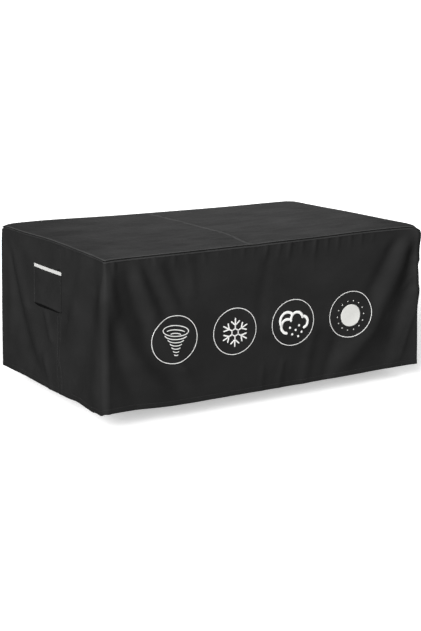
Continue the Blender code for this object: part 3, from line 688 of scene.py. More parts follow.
def unit(vectors):
    """The vectors, each scaled to a length of 1."""
    return vectors / np.linalg.norm(vectors, axis=-1, keepdims=True)


def skirt_axes(sizes, run, z, step=0.0015):
    """The walls' outward normals and the direction along the run, from small steps over the surface."""
    along = skirt_face(sizes, run + step, z) - skirt_face(sizes, run - step, z)
    up = skirt_face(sizes, run, z + step) - skirt_face(sizes, run, z - step)
    return unit(np.cross(along, up)), unit(along)


def on_skirt(sizes, run, z, proud):
    """Points that stand proud of the walls' outer face by a distance along its normal."""
    normal, _ = skirt_axes(sizes, run, z)
    return skirt_face(sizes, run, z) + normal * np.asarray(proud)[..., None]


def wall_x(sizes, z):
    """The x of the bare left end wall at a height."""
    return -HALF_LENGTH - sizes.flare * (FRAME_SHEET - z) / sizes.drop


def grid_faces(down, across, loop_down=False, loop_across=False):
    """Quads over a grid of points stored row by row, whose last row or column may join the first."""
    index = np.arange(down * across).reshape(down, across)
    if loop_down:
        index = np.concatenate([index, index[:1]], axis=0)
    if loop_across:
        index = np.concatenate([index, index[:, :1]], axis=1)
    corners = (index[1:, :-1], index[1:, 1:], index[:-1, 1:], index[:-1, :-1])
    return np.stack(corners, axis=-1).reshape(-1, 4)


def joined(parts):
    """Several (points, faces) pairs as one."""
    points = [part[0].reshape(-1, 3) for part in parts]
    starts = np.cumsum([0] + [len(p) for p in points[:-1]])
    return np.concatenate(points), np.concatenate([part[1] + start for part, start in zip(parts, starts)])


def piece(name, points, faces, finish, uv=None, thickness=0.0):
    """A named mesh piece that rides on the frame. uv is one pair of metres for each point."""
    mesh = bpy.data.meshes.new(name)
    mesh.from_pydata(points.reshape(-1, 3).tolist(), [], faces if isinstance(faces, list) else faces.tolist())
    mesh.validate()
    mesh.shade_smooth()
    mesh.materials.append(finish)
    if uv is not None:
        corners = np.zeros(len(mesh.loops), np.int32)
        mesh.loops.foreach_get("vertex_index", corners)
        layer = mesh.uv_layers.new(name="cloth_metres")
        layer.data.foreach_set("uv", uv.reshape(-1, 2)[corners].astype(np.float32).ravel())
    made = bpy.data.objects.new(name, mesh)
    bpy.context.scene.collection.objects.link(made)
    if thickness:
        solidify = made.modifiers.new("Thickness", "SOLIDIFY")
        solidify.thickness = thickness
        solidify.offset = -1.0
    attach(made, "root")
    return made


def carried(profile, path, out, up):
    """A closed profile of (out, up) pairs carried along a path: the faces point away from its middle.

    Each ring of points is the path's point plus the profile's pairs along the two local directions.
    """
    profile = np.asarray(profile)
    rings = path[:, None] + profile[None, :, :1] * out[:, None] + profile[None, :, 1:] * up[:, None]
    return rings, grid_faces(len(path), len(profile), loop_across=True)


def capped(rings, faces):
    """The carried profile, its two ends closed by fans of triangles to their middles."""
    count, size = rings.shape[:2]
    points = np.concatenate([rings.reshape(-1, 3), rings[:1].mean(axis=1), rings[-1:].mean(axis=1)])
    ring = np.arange(size)
    onward = np.roll(ring, -1)
    last = (count - 1) * size
    first_cap = np.stack([ring, onward, np.full(size, count * size)], axis=-1)
    last_cap = np.stack([onward + last, ring + last, np.full(size, count * size + 1)], axis=-1)
    return points, faces.tolist() + first_cap.tolist() + last_cap.tolist()


def upward(count):
    """The direction straight up, once for each point of a path."""
    return np.tile([0.0, 0.0, 1.0], (count, 1))


def sheet_piece(name, points, uv, finish, thickness, node=None):
    """A named piece from a grid of points, which stands for a node of the frame where one is given."""
    made = piece(name, points, grid_faces(*points.shape[:2]), finish, uv, thickness)
    if node:
        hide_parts(node)


# Finishes

# Where the mix node keeps its two colours and its result
MIX_FIRST, MIX_SECOND, MIX_RESULT = 6, 7, 2


def add_node(tree, kind, inputs=None, **settings):
    """A node with its settings, whose inputs take a value, or a link where one is given."""
    node = tree.nodes.new(kind)
    for name, value in settings.items():
        setattr(node, name, value)
    for socket, value in (inputs or {}).items():
        if isinstance(value, bpy.types.NodeSocket):
            tree.links.new(value, node.inputs[socket])
        else:
            node.inputs[socket].default_value = value
    return node


def shade(colour, share):
    """A colour made darker or lighter by a share of itself."""
    return (*(part * share for part in colour[:3]), 1.0)


def mixed_colour(tree, share, first, second):
    """The output of a colour mix, from the first colour at a share of 0 to the second at 1."""
    mix = add_node(tree, "ShaderNodeMix", {"Factor": share}, data_type="RGBA")
    mix.inputs[MIX_FIRST].default_value, mix.inputs[MIX_SECOND].default_value = first, second
    return mix.outputs[MIX_RESULT]


def new_finish(name):
    """A material with an empty node tree."""
    finish = bpy.data.materials.new(name)
    finish.use_nodes = True
    finish.node_tree.nodes.clear()
    return finish, finish.node_tree


def object_place(tree):
    """The object's own coordinates, in metres."""
    return add_node(tree, "ShaderNodeTexCoord").outputs["Object"]


def noise(tree, place, scale, detail=2.0, distortion=0.0):
    """A noise from 0 to 1, whose largest cells are 1 / scale metres across."""
    inputs = {"Vector": place, "Scale": scale, "Detail": detail, "Distortion": distortion}
    return add_node(tree, "ShaderNodeTexNoise", inputs).outputs["Fac"]


def ranged(tree, value, given, wanted):
    """A value carried from one range to another, and held at its ends."""
    inputs = {"From Min": given[0], "From Max": given[1], "To Min": wanted[0], "To Max": wanted[1]}
    inputs["Value"] = value
    return add_node(tree, "ShaderNodeMapRange", inputs).outputs["Result"]


def bumped(tree, height, strength, distance, **below):
    """A normal bent by a height from 0 to 1, which is that distance deep, on top of the one below it."""
    inputs = {"Height": height, "Strength": strength, "Distance": distance, **below}
    return add_node(tree, "ShaderNodeBump", inputs).outputs["Normal"]


def close_finish(tree, colour, roughness, normal, **others):
    """Adds the shader and the output node. The others are its inputs, with _ for each space."""
    inputs = {"Base Color": colour, "Roughness": roughness, "Normal": normal}
    inputs.update((name.replace("_", " "), value) for name, value in others.items())
    shader = add_node(tree, "ShaderNodeBsdfPrincipled", inputs)
    add_node(tree, "ShaderNodeOutputMaterial", {"Surface": shader.outputs["BSDF"]})


def weave_height(tree, warp_mm, weft_mm):
    """The height of a plain weave over the cloth's own metres: one sine along each thread, multiplied."""
    cloth = add_node(tree, "ShaderNodeUVMap", uv_map="cloth_metres")
    axes = add_node(tree, "ShaderNodeSeparateXYZ", {"Vector": cloth.outputs["UV"]})
    waves = []
    for axis, pitch in (("X", warp_mm), ("Y", weft_mm)):
        inputs = {0: axes.outputs[axis], 1: tau * 1000 / pitch}
        turns = add_node(tree, "ShaderNodeMath", inputs, operation="MULTIPLY")
        waves.append(add_node(tree, "ShaderNodeMath", {0: turns.outputs[0]}, operation="SINE"))
    inputs = {0: waves[0].outputs[0], 1: waves[1].outputs[0]}
    return add_node(tree, "ShaderNodeMath", inputs, operation="MULTIPLY").outputs[0]


def coated_oxford(name, colour, shine, clouds):
    """Polyester oxford with a polyurethane coating, woven and then coated on the back.

    The eye gets a dark, semi-matt cloth with a fine grain, a soft shine along the folds, and
    cloudy tone changes, longer along the cover, where it was folded for packing. Its colour is
    painted lighter towards the top and darker towards the hem, as painted light that falls off
    downwards. The real threads are about 0.6 mm apart, too fine for the render, so the weave is
    drawn 1.6 mm apart.
    """
    finish, tree = new_finish(name)
    place = object_place(tree)
    drawn_out = add_node(tree, "ShaderNodeMapping", {"Vector": place, "Scale": (0.6, 1.0, 1.0)})
    tone = ranged(tree, noise(tree, drawn_out.outputs["Vector"], 6.0, 4.0), (0.30, 0.70), (0.0, 1.0))
    clouded = mixed_colour(tree, tone, shade(colour, 1.0 - clouds), shade(colour, 1.0 + clouds))
    height = add_node(tree, "ShaderNodeSeparateXYZ", {"Vector": place}).outputs["Z"]
    # painted light: the colour's value grows from 0.92 at the hem to 1.08 at the top's face, for light that
    # falls off downwards
    painted_light_by_height = ranged(tree, height, (-FRAME_DROP, 0.0), (0.92, 1.08))
    toned = add_node(tree, "ShaderNodeHueSaturation", {"Color": clouded, "Value": painted_light_by_height})
    rough = ranged(tree, noise(tree, place, 210.0), (0.0, 1.0), (0.52, 0.66))
    woven = bumped(tree, weave_height(tree, 3.2, 3.2), 0.35, 0.0003)
    crumpled = bumped(tree, noise(tree, place, 26.0, 4.0, 0.4), 0.5, 0.0022, Normal=woven)
    close_finish(tree, toned.outputs["Color"], rough, crumpled, Specular_IOR_Level=shine)
    return finish


def woven_strip(name, colour):
    """Polyester webbing, woven flat with a cross rib. The eye gets a clean matt white with fine
    ribs; they are 1.2 mm apart and drawn at 2 mm."""
    finish, tree = new_finish(name)
    toned = mixed_colour(tree, noise(tree, object_place(tree), 60.0), shade(colour, 0.93), colour)
    ribbed = bumped(tree, weave_height(tree, 2.0, 4.0), 0.3, 0.0003)
    close_finish(tree, toned, 0.7, ribbed, Specular_IOR_Level=0.3)
    return finish


def sewing_thread(name, colour):
    """Bonded polyester thread, spun and slightly glossy. The eye gets small dull glints in a row."""
    finish, tree = new_finish(name)
    close_finish(tree, colour, 0.45, bumped(tree, noise(tree, object_place(tree), 900.0, 1.0), 0.3, 0.0002))
    return finish


def screen_ink(name, colour):
    """Plastisol ink, screen printed and cured. The eye gets flat white with the cloth's grain
    showing through and slightly thin patches."""
    finish, tree = new_finish(name)
    place = object_place(tree)
    toned = mixed_colour(tree, noise(tree, place, 120.0), shade(colour, 0.88), colour)
    close_finish(tree, toned, 0.55, bumped(tree, noise(tree, place, 500.0, 1.0), 0.3, 0.0002))
    return finish


def knitted_net_and_painted_shade(name, colour):
    """Polyester mesh net, knitted and dyed black. The eye gets a deep, dull black in which the
    holes, 2 mm apart, hardly show. Where it shows below the flap, that black is painted shade of the
    vent's opening."""
    finish, tree = new_finish(name)
    close_finish(tree, colour, 0.95, bumped(tree, weave_height(tree, 4.0, 4.0), 0.6, 0.0005),
                 Specular_IOR_Level=0.0)
    return finish


def studio_paper(name):
    """White background paper, matt, which glows a little so that shadows on it stay pale."""
    finish, tree = new_finish(name)
    place = object_place(tree)
    away = add_node(tree, "ShaderNodeVectorMath", {0: place}, operation="LENGTH").outputs["Value"]
    glow = ranged(tree, away, (2.5, 7.0), (0.45, 1.1))
    close_finish(tree, linear("F2F2F2"), 0.9, bumped(tree, noise(tree, place, 300.0), 0.1, 0.0002),
                 Specular_IOR_Level=0.0, Emission_Color=(1.0, 1.0, 1.0, 1.0), Emission_Strength=glow)
    return finish


def finish_named(name, maker, *details):
    """The material of that name, made the first time that it is asked for."""
    return bpy.data.materials.get(name) or maker(name, *details)


def cloth_finish(colours, part):
    """The finish of the cloth of one part, which is a key of CLOTHS."""
    cloth = CLOTHS[part]
    return finish_named(f"coated_oxford_{part}", coated_oxford, tuple(getattr(colours, cloth.colour)),
                        cloth.shine, cloth.clouds)


# The cloth


def columns():
    """The runs at which the walls are divided, from the left end seam right round to it."""
    runs = []
    for wall in WALLS:
        corner = spaced(wall.half - CORNER_REACH, wall.half, CORNER_STEP)
        plain = spaced(CORNER_REACH - wall.half, wall.half - CORNER_REACH, COLUMN_STEP)
        runs.append(wall.middle + np.unique(np.round(np.concatenate([-corner, plain, corner]), 9)))
    for wall_name, onward in (("left", 1), ("right", -1)):
        runs.append(run_of(wall_name, END_SEAM_Y) + onward * spaced(*SEAM_SPAN, SEAM_STEP))
    start = run_of("left", END_SEAM_Y)
    return np.unique(np.round((np.concatenate(runs) - start) % ROUND, 6)) + start


def rows(sizes):
    """The shares of the drop at which the walls are divided: finer at the puckers and the hem."""
    shelf_top = GROOVE_BOTTOM + SHELF
    fold_line = sizes.drop - sizes.hem + HEM_SOFTNESS
    hem_top = sizes.drop - sizes.hem - HEM_FINE
    depths = np.concatenate([
        LIP_DEPTHS,
        spaced(GROOVE_BOTTOM, shelf_top, SHELF / 5),
        spaced(shelf_top + 0.0008, shelf_top + 0.0050, SHELF_STEP),
        spaced(BELOW_ROLL, PUCKER_DEPTH, PUCKER_STEP),
        spaced(PUCKER_DEPTH, hem_top, WALL_STEP),
        spaced(hem_top, fold_line, HEM_SOFTNESS),
        spaced(fold_line, sizes.drop, HEM_STEP)])
    return np.unique(np.round(depths, 6)) / sizes.drop


def skirt_half(sizes, runs):
    """Half of the walls: points over run and share of the drop, and the cloth's own metres."""
    edge, _ = wall_plan(sizes, runs, 0.0)
    top = top_height(edge[:, 0], edge[:, 1]) - FRAME_SHEET
    hem = hem_height(sizes, runs)
    share = rows(sizes)[:, None]
    z = top + share * (hem - top)
    run = np.broadcast_to(runs, z.shape)
    return skirt_face(sizes, run, z), np.stack([run, z], axis=-1)


def top_seam_x(y):
    """The seam across the top: straight, then swung to the left towards the front edge."""
    past = np.clip((TOP_SEAM_BEND_Y - y) / (TOP_SEAM_BEND_Y + HALF_WIDTH), 0.0, None)
    return TOP_SEAM_X - TOP_SEAM_SWING * past**1.5


def top_edge_x(y, side):
    """The x of the top's short edge, on one side, with an arc of the corner's radius at each end."""
    names = ("front_left", "back_left") if side < 0 else ("front_right", "back_right")
    front, back = (corner_radius(name, 0.0) for name in names)
    radius = np.where(y < 0, front, back)
    into = np.clip(np.abs(y) - (HALF_WIDTH - radius), 0.0, radius)
    return side * (HALF_LENGTH - radius + np.sqrt(np.maximum(radius**2 - into**2, 0.0)))


def top_face(sizes, x, y):
    """The top's face: its swells, soft unevenness and wrinkles that run along it, flat at the sewn edge."""
    room = np.minimum(HALF_LENGTH - np.abs(x), HALF_WIDTH - np.abs(y))
    beside = np.abs(x - top_seam_x(y))
    soft = sizes.slack * unevenness(x, y, TOP_SLACK_LENGTH, 9)
    streaks = WRINKLE_RISE * unevenness(x / WRINKLE_STRETCH, y, WRINKLE_LENGTH, 4)
    laid = (soft + streaks) * smooth(room / SEWN_EDGE) * smooth(SEAM_HOLDS + beside / SEAM_REACH)
    return np.stack(np.broadcast_arrays(x, y, top_height(x, y) + laid), axis=-1)


def top_half(sizes, side):
    """One panel of the top: rows across the cover, each run from the short edge to the seam."""
    bend = 0.5 * (1 - np.cos(np.linspace(0.0, pi / 2, CORNER_ROWS))) * CORNER_ROWS_REACH
    straight = spaced(bend[-1] - HALF_WIDTH, HALF_WIDTH - bend[-1], TOP_STEP)
    y = np.concatenate([bend[:-1] - HALF_WIDTH, straight, (HALF_WIDTH - bend[:-1])[::-1]])
    outer, inner = top_edge_x(y, side), top_seam_x(y) + side * TOP_SEAM_GAP
    share = spaced(0.0, HALF_LENGTH, TOP_STEP) / HALF_LENGTH
    x = outer[:, None] + (inner - outer)[:, None] * share
    y = np.broadcast_to(y[:, None], x.shape)
    points = top_face(sizes, x, y)
    if side < 0:
        points, x, y = points[::-1], x[::-1], y[::-1]
    return points, np.stack([x, y], axis=-1)


class COVER_OT_top_cloth(bpy.types.Operator):
    """Make the two panels of the top, with their swells and wrinkles"""

    bl_idname = "cover.top_cloth"
    bl_label = "Top panels"

    def execute(self, context):
        sizes, finish = context.scene.cover_sizes, cloth_finish(context.scene.cover_colours, "top")
        for side, name in ((-1, "left"), (1, "right")):
            points, uv = top_half(sizes, side)
            node = f"top_panel_{name}"
            sheet_piece(f"top_cloth_{name}", points, uv, finish, sizes.cloth, node)
        return {"FINISHED"}


class COVER_OT_skirt_cloth(bpy.types.Operator):
    """Make the two halves of the walls, with their folds, puckers and turned hem"""

    bl_idname = "cover.skirt_cloth"
    bl_label = "Walls"

    def execute(self, context):
        sizes, finish = context.scene.cover_sizes, cloth_finish(context.scene.cover_colours, "walls")
        runs = columns()
        right, left = run_of("right", END_SEAM_Y), run_of("left", END_SEAM_Y)
        spans = {
            "front": (left + END_SEAM_GAP, right - END_SEAM_GAP),
            "back": (right + END_SEAM_GAP, left + ROUND - END_SEAM_GAP),
        }
        for name, (start, end) in spans.items():
            inside = runs[(runs > start + CLEAR_OF_SEAM) & (runs < end - CLEAR_OF_SEAM)]
            points, uv = skirt_half(sizes, np.concatenate([[start], inside, [end]]))
            node = f"skirt_{name}"
            sheet_piece(f"skirt_cloth_{name}", points, uv, finish, sizes.cloth, node)
        return {"FINISHED"}


# The vent

# The thicker rims of the flap, by the distance in from an edge: how wide, how soft and how high they
# are, and where, over what reach and how deep the stitching beside them sinks
Rim = namedtuple("Rim", "width softness rise stitched_at reach sinks")
SIDE_RIM = Rim(0.0090, 0.0035, 0.0014, 0.0110, 0.0030, 0.0010)
FREE_RIM = Rim(0.0130, 0.0020, 0.0006, 0.0140, 0.0030, 0.0005)
LEFT_BINDING, RIGHT_BINDING = 1.7, 0.2  # how much of the side rim shows: the left binding is thicker
FLAP_OFF = 0.0018  # how far its bare cloth stands off the wall
FLAP_SLACK, FLAP_SLACK_LENGTH = 0.0012, 0.12  # the height and length of its unevenness
SLACK_FROM_SIDE, SLACK_FROM_HEAD = 0.03, 0.2  # where that is full: metres in, and a share of the way down
FLAP_STEP_ACROSS, FLAP_STEP_DOWN = 0.0022, 0.004
STRIP_OFF, STRIP_CLOTH = 0.0016, 0.0011  # off the wall, and its thickness
STRIP_CORNER, STRIP_CORNER_SHARE = 0.0030, 0.16  # its rounded corners, along it and of its height
STRIP_DENT, STRIP_DENT_SHARE = 0.0004, 0.09  # the low line along its middle, by its height
STRIP_RIM_DENT, STRIP_RIM_SHARE = 0.0003, 0.10  # and those along its stitched rims
STRIP_SLACK, STRIP_SLACK_LENGTH = 0.0003, 0.06
PAINTED_SHADE_SKEW, PAINTED_SHADE_ROUNDNESS, NET_BEHIND = 0.86, 0.7, 0.006  # the shape of the dark crescent below the flap, which is painted shade, and how far the net goes up behind the flap
NET_OFF, NET_CLOTH, NET_STEP = 0.0006, 0.0004, 0.004


def rim_rise(rim, inward):
    """How far a sewn rim stands out: a step down at its inner side, less the dent of its stitching."""
    step = rim.rise * smooth((rim.width - inward) / rim.softness)
    return step - rim.sinks * bell(inward - rim.stitched_at, rim.reach)


def flap_bulge(y):
    """How far the flap bulges, from 0 at its borders to 1 in its middle: a sine, drawn out at its ends."""
    share = (FLAP_HIGH.y - FLAP_BORDER - y) / (FLAP_HIGH.y - FLAP_LOW.y - 2 * FLAP_BORDER)
    return np.sin(pi * np.clip(share, 0.0, 1.0)) ** FLAP_ROUNDNESS


def strip_outline(share_z, corner):
    """How far in from the sides a strip with rounded corners reaches at each share of its height."""
    into = np.clip(1 - np.minimum(share_z, 1 - share_z) / corner, 0.0, 1.0)
    return 1 - np.sqrt(1 - into**2)


class COVER_OT_vent(bpy.types.Operator):
    """Make the vent's flap, the white strip over its head, and the net behind it with its dark crescent of
    painted shade below the flap
    """

    bl_idname = "cover.vent"
    bl_label = "Vent"

    def execute(self, context):
        sizes, colours = context.scene.cover_sizes, context.scene.cover_colours
        self.make_flap(sizes, colours)
        self.make_strip(sizes, colours)
        self.make_net_and_painted_shade(sizes, colours)
        return {"FINISHED"}

    def make_flap(self, sizes, colours):
        """Sewn at its head and sides; its middle bulges as a sine across, growing towards the free edge."""
        height = FLAP_HIGH.z - FLAP_LOW.z
        y = spaced(FLAP_HIGH.y, FLAP_LOW.y, FLAP_STEP_ACROSS)[None, :]
        down = spaced(0.0, 1.0, FLAP_STEP_DOWN / height)[:, None]
        across = flap_bulge(y)
        z = FLAP_HIGH.z - down * (height - FLAP_RISES * across)
        bulge = FLAP_STANDS_OUT * across * smooth(down) * down
        from_left, from_right = FLAP_HIGH.y - y, y - FLAP_LOW.y
        edge = np.minimum(from_left, from_right)
        bound = np.where(from_left < from_right, LEFT_BINDING, RIGHT_BINDING) * rim_rise(SIDE_RIM, edge)
        turned = rim_rise(FREE_RIM, (1.0 - down) * height)
        loose = smooth(edge / SLACK_FROM_SIDE) * smooth(down / SLACK_FROM_HEAD)
        soft = FLAP_SLACK * unevenness(y, z, FLAP_SLACK_LENGTH, 6) * loose
        x = wall_x(sizes, z) - FLAP_OFF - bulge - bound - turned - soft
        points = np.stack(np.broadcast_arrays(x, y, z), axis=-1)
        uv = np.stack(np.broadcast_arrays(y, z), axis=-1)
        finish = cloth_finish(colours, "walls")
        sheet_piece("vent_flap_cloth", points, uv, finish, sizes.cloth, "vent_flap")

    def make_strip(self, sizes, colours):
        """Flat webbing with slightly rounded corners, drawn in a little by its stitching."""
        share_y, share_z = np.meshgrid(np.linspace(0, 1, 101), np.linspace(0, 1, 13))
        inset = STRIP_INSET + STRIP_CORNER * strip_outline(share_z, STRIP_CORNER_SHARE)
        width = STRIP_HIGH.y - STRIP_LOW.y - 2 * inset
        y = STRIP_HIGH.y - inset - share_y * width
        sag = STRIP_SAG * (1 - (2 * share_y - 1) ** 2)
        z = STRIP_HIGH.z - STRIP_INSET / 2 - sag - share_z * STRIP_HEIGHT
        middle = STRIP_DENT * bell(share_z - 0.5, STRIP_DENT_SHARE)
        rim = STRIP_RIM_DENT * bell(np.minimum(share_z, 1 - share_z), STRIP_RIM_SHARE)
        soft = STRIP_SLACK * unevenness(y, z, STRIP_SLACK_LENGTH, 4)
        x = wall_x(sizes, z) - STRIP_OFF + middle + rim - soft
        points, uv = np.stack([x, y, z], axis=-1), np.stack([y, z], axis=-1)
        finish = finish_named("woven_polyester_webbing", woven_strip, tuple(colours.strip))
        sheet_piece("vent_strip_webbing", points, uv, finish, STRIP_CLOTH, "vent_strip")

    def make_net_and_painted_shade(self, sizes, colours):
        """The net's lower part, which shows under the flap: a crescent, deepest left of its middle. Below the
        flap's edge this dark sheet is painted shade of the vent's opening.
        """
        y = spaced(NET_LEFT, NET_RIGHT, NET_STEP)[None, :]
        share = np.clip((NET_LEFT - y) / (NET_LEFT - NET_RIGHT), 0.0, 1.0)
        edge = FLAP_LOW.z + FLAP_RISES * flap_bulge(y)
        low = edge - PAINTED_SHADE_SHOWS * np.sin(pi * share**PAINTED_SHADE_SKEW) ** PAINTED_SHADE_ROUNDNESS
        down = np.linspace(0.0, 1.0, 9)[:, None]
        z = edge + NET_BEHIND + (low - edge - NET_BEHIND) * down
        run = run_of("left", y) + 0 * z
        points, uv = on_skirt(sizes, run, z, NET_OFF + 0 * z), np.stack([run, z], axis=-1)
        finish = finish_named("knitted_mesh_net", knitted_net_and_painted_shade, tuple(colours.net))
        sheet_piece("vent_net", points, uv, finish, NET_CLOTH)


# The seams


class COVER_OT_seams(bpy.types.Operator):
    """Make the sewn lip round the top edge, the roll below it, the seam across the top and the end seams"""

    bl_idname = "cover.seams"
    bl_label = "Seams"

    def execute(self, context):
        sizes, colours = context.scene.cover_sizes, context.scene.cover_colours
        self.make_edge(sizes, colours)
        self.make_cross_seam(sizes, colours)
        self.make_end_seams(sizes, colours)
        return {"FINISHED"}

    def make_edge(self, sizes, colours):
        """The top's cloth turned down over the walls, and the walls' rolled allowance below it."""
        runs = columns()
        plan, outward = wall_plan(sizes, runs, 0.0)
        path = np.column_stack([plan, top_height(plan[:, 0], plan[:, 1])])
        out = np.column_stack([outward, np.zeros(len(runs))])
        drawn = sum(EDGE_WAVER * unevenness(runs, 0 * runs, length, waves) for length, waves in EDGE_WAVES)
        sunk = ROLL_SUNK * on_left_end(runs)
        # The lip and the roll get the lighter cloths of painted highlights along the top edge
        for name, profile, part, slot, offset in (
                ("top_edge_seam", LIP, "rubbed_edge", "top_cloth", drawn),
                ("top_edge_roll", ROLL, "rubbed_roll", "skirt_cloth", drawn - sunk)):
            rings, _ = carried(np.array(profile[::-1]) / 1000, path, out, upward(len(runs)))
            rings = rings + (out * offset[:, None])[:, None, :]
            faces = grid_faces(*rings.shape[:2], loop_down=True, loop_across=True)
            girth = np.linspace(0, EDGE_GIRTH, len(profile))
            uv = np.stack(np.broadcast_arrays(runs[:, None], girth), axis=-1)
            piece(name, rings, faces, cloth_finish(colours, part), uv)

    def make_cross_seam(self, sizes, colours):
        """The right panel lapped over the left one: a low ridge, steep towards the left."""
        y = spaced(CROSS_SEAM_ENDS - HALF_WIDTH, HALF_WIDTH - CROSS_SEAM_ENDS, CROSS_SEAM_STEP)
        path = top_face(sizes, top_seam_x(y), y)
        along, up = unit(np.gradient(path, axis=0)), upward(len(y))
        rings, faces = carried(np.array(CROSS_SEAM) / 1000, path, unit(np.cross(along, up)), up)
        points, faces = capped(rings, faces)
        # The seam's cloth is the lighter one of the painted highlight along it
        piece("cross_seam", points, faces, cloth_finish(colours, "rubbed_edge"), points[:, :2])

    def make_end_seams(self, sizes, colours):
        """Flat felled seams down the end walls, as wide as their turned allowance."""
        bottom = float(hem_height(sizes, run_of("left", END_SEAM_Y))) + SEAM_OFF_HEM
        spans = {
            "end_seam_left": ("left", FLAP_LOW.z - SEAM_OFF_FLAP, bottom),
            "end_seam_left_head": ("left", BELOW_EDGE, STRIP_HIGH.z + SEAM_OFF_STRIP),
            "end_seam_right": ("right", BELOW_EDGE, bottom),
        }
        shares, heights = zip(*FELLED)
        rim = np.array(shares[2:])
        across = np.concatenate([-rim[::-1], np.linspace(-shares[1], shares[1], 18), rim])
        thick = np.interp(np.abs(across), shares, heights)
        for name, (wall, start, end) in spans.items():
            onward = -1 if wall == "right" else 1
            z = spaced(start, end, SEAM_ROW_STEP)[:, None] + 0 * across
            run = float(run_of(wall, END_SEAM_Y)) + onward * SEAM_ASIDE + SEAM_HALF * across + 0 * z
            top = on_skirt(sizes, run, z, thick + 0 * z)
            under = on_skirt(sizes, run, z, -FELLED_UNDER + 0 * z)[:, ::-1]
            rings = np.concatenate([top, under], axis=1)
            points, faces = capped(rings, grid_faces(*rings.shape[:2], loop_across=True))
            piece(name, points, faces, cloth_finish(colours, "walls"), points[:, 1:])


# The stitching

ON_CLOTH, ON_STRIP = 0.00025, 0.0007  # how high a stitch lies over the cloth, and over an end seam's strip
ON_LIP = (0.0040, 0.0012)  # how far in from the top's edge, and how far up from its face
ON_CROSS_SEAM = ((-0.0035, 0.0024), (0.0030, 0.0014))  # the same for its two rows, from the seam's line
STITCH_FLATNESS, STITCH_SHOULDER = 0.45, 0.62  # its height by its width, and where it reaches that
HEM_ROW_INSIDE = 0.002  # how far below the hem's fold its row lies
SEAM_ROW_SHARE = 0.8  # how far out on an end seam's half width its second row may lie
ROW_OFF_FLAP, ROW_BELOW_EDGE, ROW_OFF_HEM = 0.022, -0.020, 0.004  # where the rows of the end seams end
CROSS_ROW_ENDS = 0.010  # how far the rows across the top stay off its edges
FLAP_ROW_ENDS, FLAP_ROW_INSIDE, FLAP_ROW_OFF = (0.002, 0.004), 0.010, 0.0014  # the rows down the flap


def stitch_row(stitches, path, normals, raised=ON_CLOTH):
    """Stitches at an even pitch along a path: each is a lozenge of thread, tapered at both ends.

    The path is cut at equal lengths, and every stitch is the same ten points laid along the
    path's direction, across it and up its normal.
    """
    steps = np.linalg.norm(np.diff(path, axis=0), axis=1)
    length = np.concatenate([[0.0], np.cumsum(steps)])
    places = np.arange(stitches.pitch / 2, length[-1], stitches.pitch)

    def at(values, ahead=0.0):
        return np.stack([np.interp(places + ahead, length, values[:, axis]) for axis in range(3)], axis=-1)

    middle, normal = at(path), unit(at(normals))
    along = unit(at(path, 0.001) - at(path, -0.001))
    across = unit(np.cross(normal, along))
    half, wide, high = stitches.length / 2, stitches.thread / 2, stitches.thread * STITCH_FLATNESS
    ring = ((-1, 0), (0, 1), (1, 0), (0, -1))
    shoulders = [
        (end * half * STITCH_SHOULDER, side * wide, rise * high) for end in (-1, 1) for side, rise in ring]
    shape = np.array([(-half, 0, -high / 2), *shoulders, (half, 0, -high / 2)])
    points = (middle[:, None] + along[:, None] * shape[:, :1] + across[:, None] * shape[:, 1:2]
              + normal[:, None] * (shape[:, 2:] + raised))
    first = [(0, 1 + k, 1 + (k + 1) % 4, 1 + (k + 1) % 4) for k in range(4)]
    between = [(1 + k, 5 + k, 5 + (k + 1) % 4, 1 + (k + 1) % 4) for k in range(4)]
    last = [(9, 5 + (k + 1) % 4, 5 + k, 5 + k) for k in range(4)]
    faces = np.array(first + between + last)
    return points.reshape(-1, 3), (faces[None] + 10 * np.arange(len(places))[:, None, None]).reshape(-1, 4)


def row_on_skirt(sizes, stitches, run, z, raised):
    """A row of stitches along a line on the walls."""
    run, z = np.broadcast_arrays(np.asarray(run, float), np.asarray(z, float))
    normal, _ = skirt_axes(sizes, run, z)
    return stitch_row(stitches, skirt_face(sizes, run, z), normal, raised)


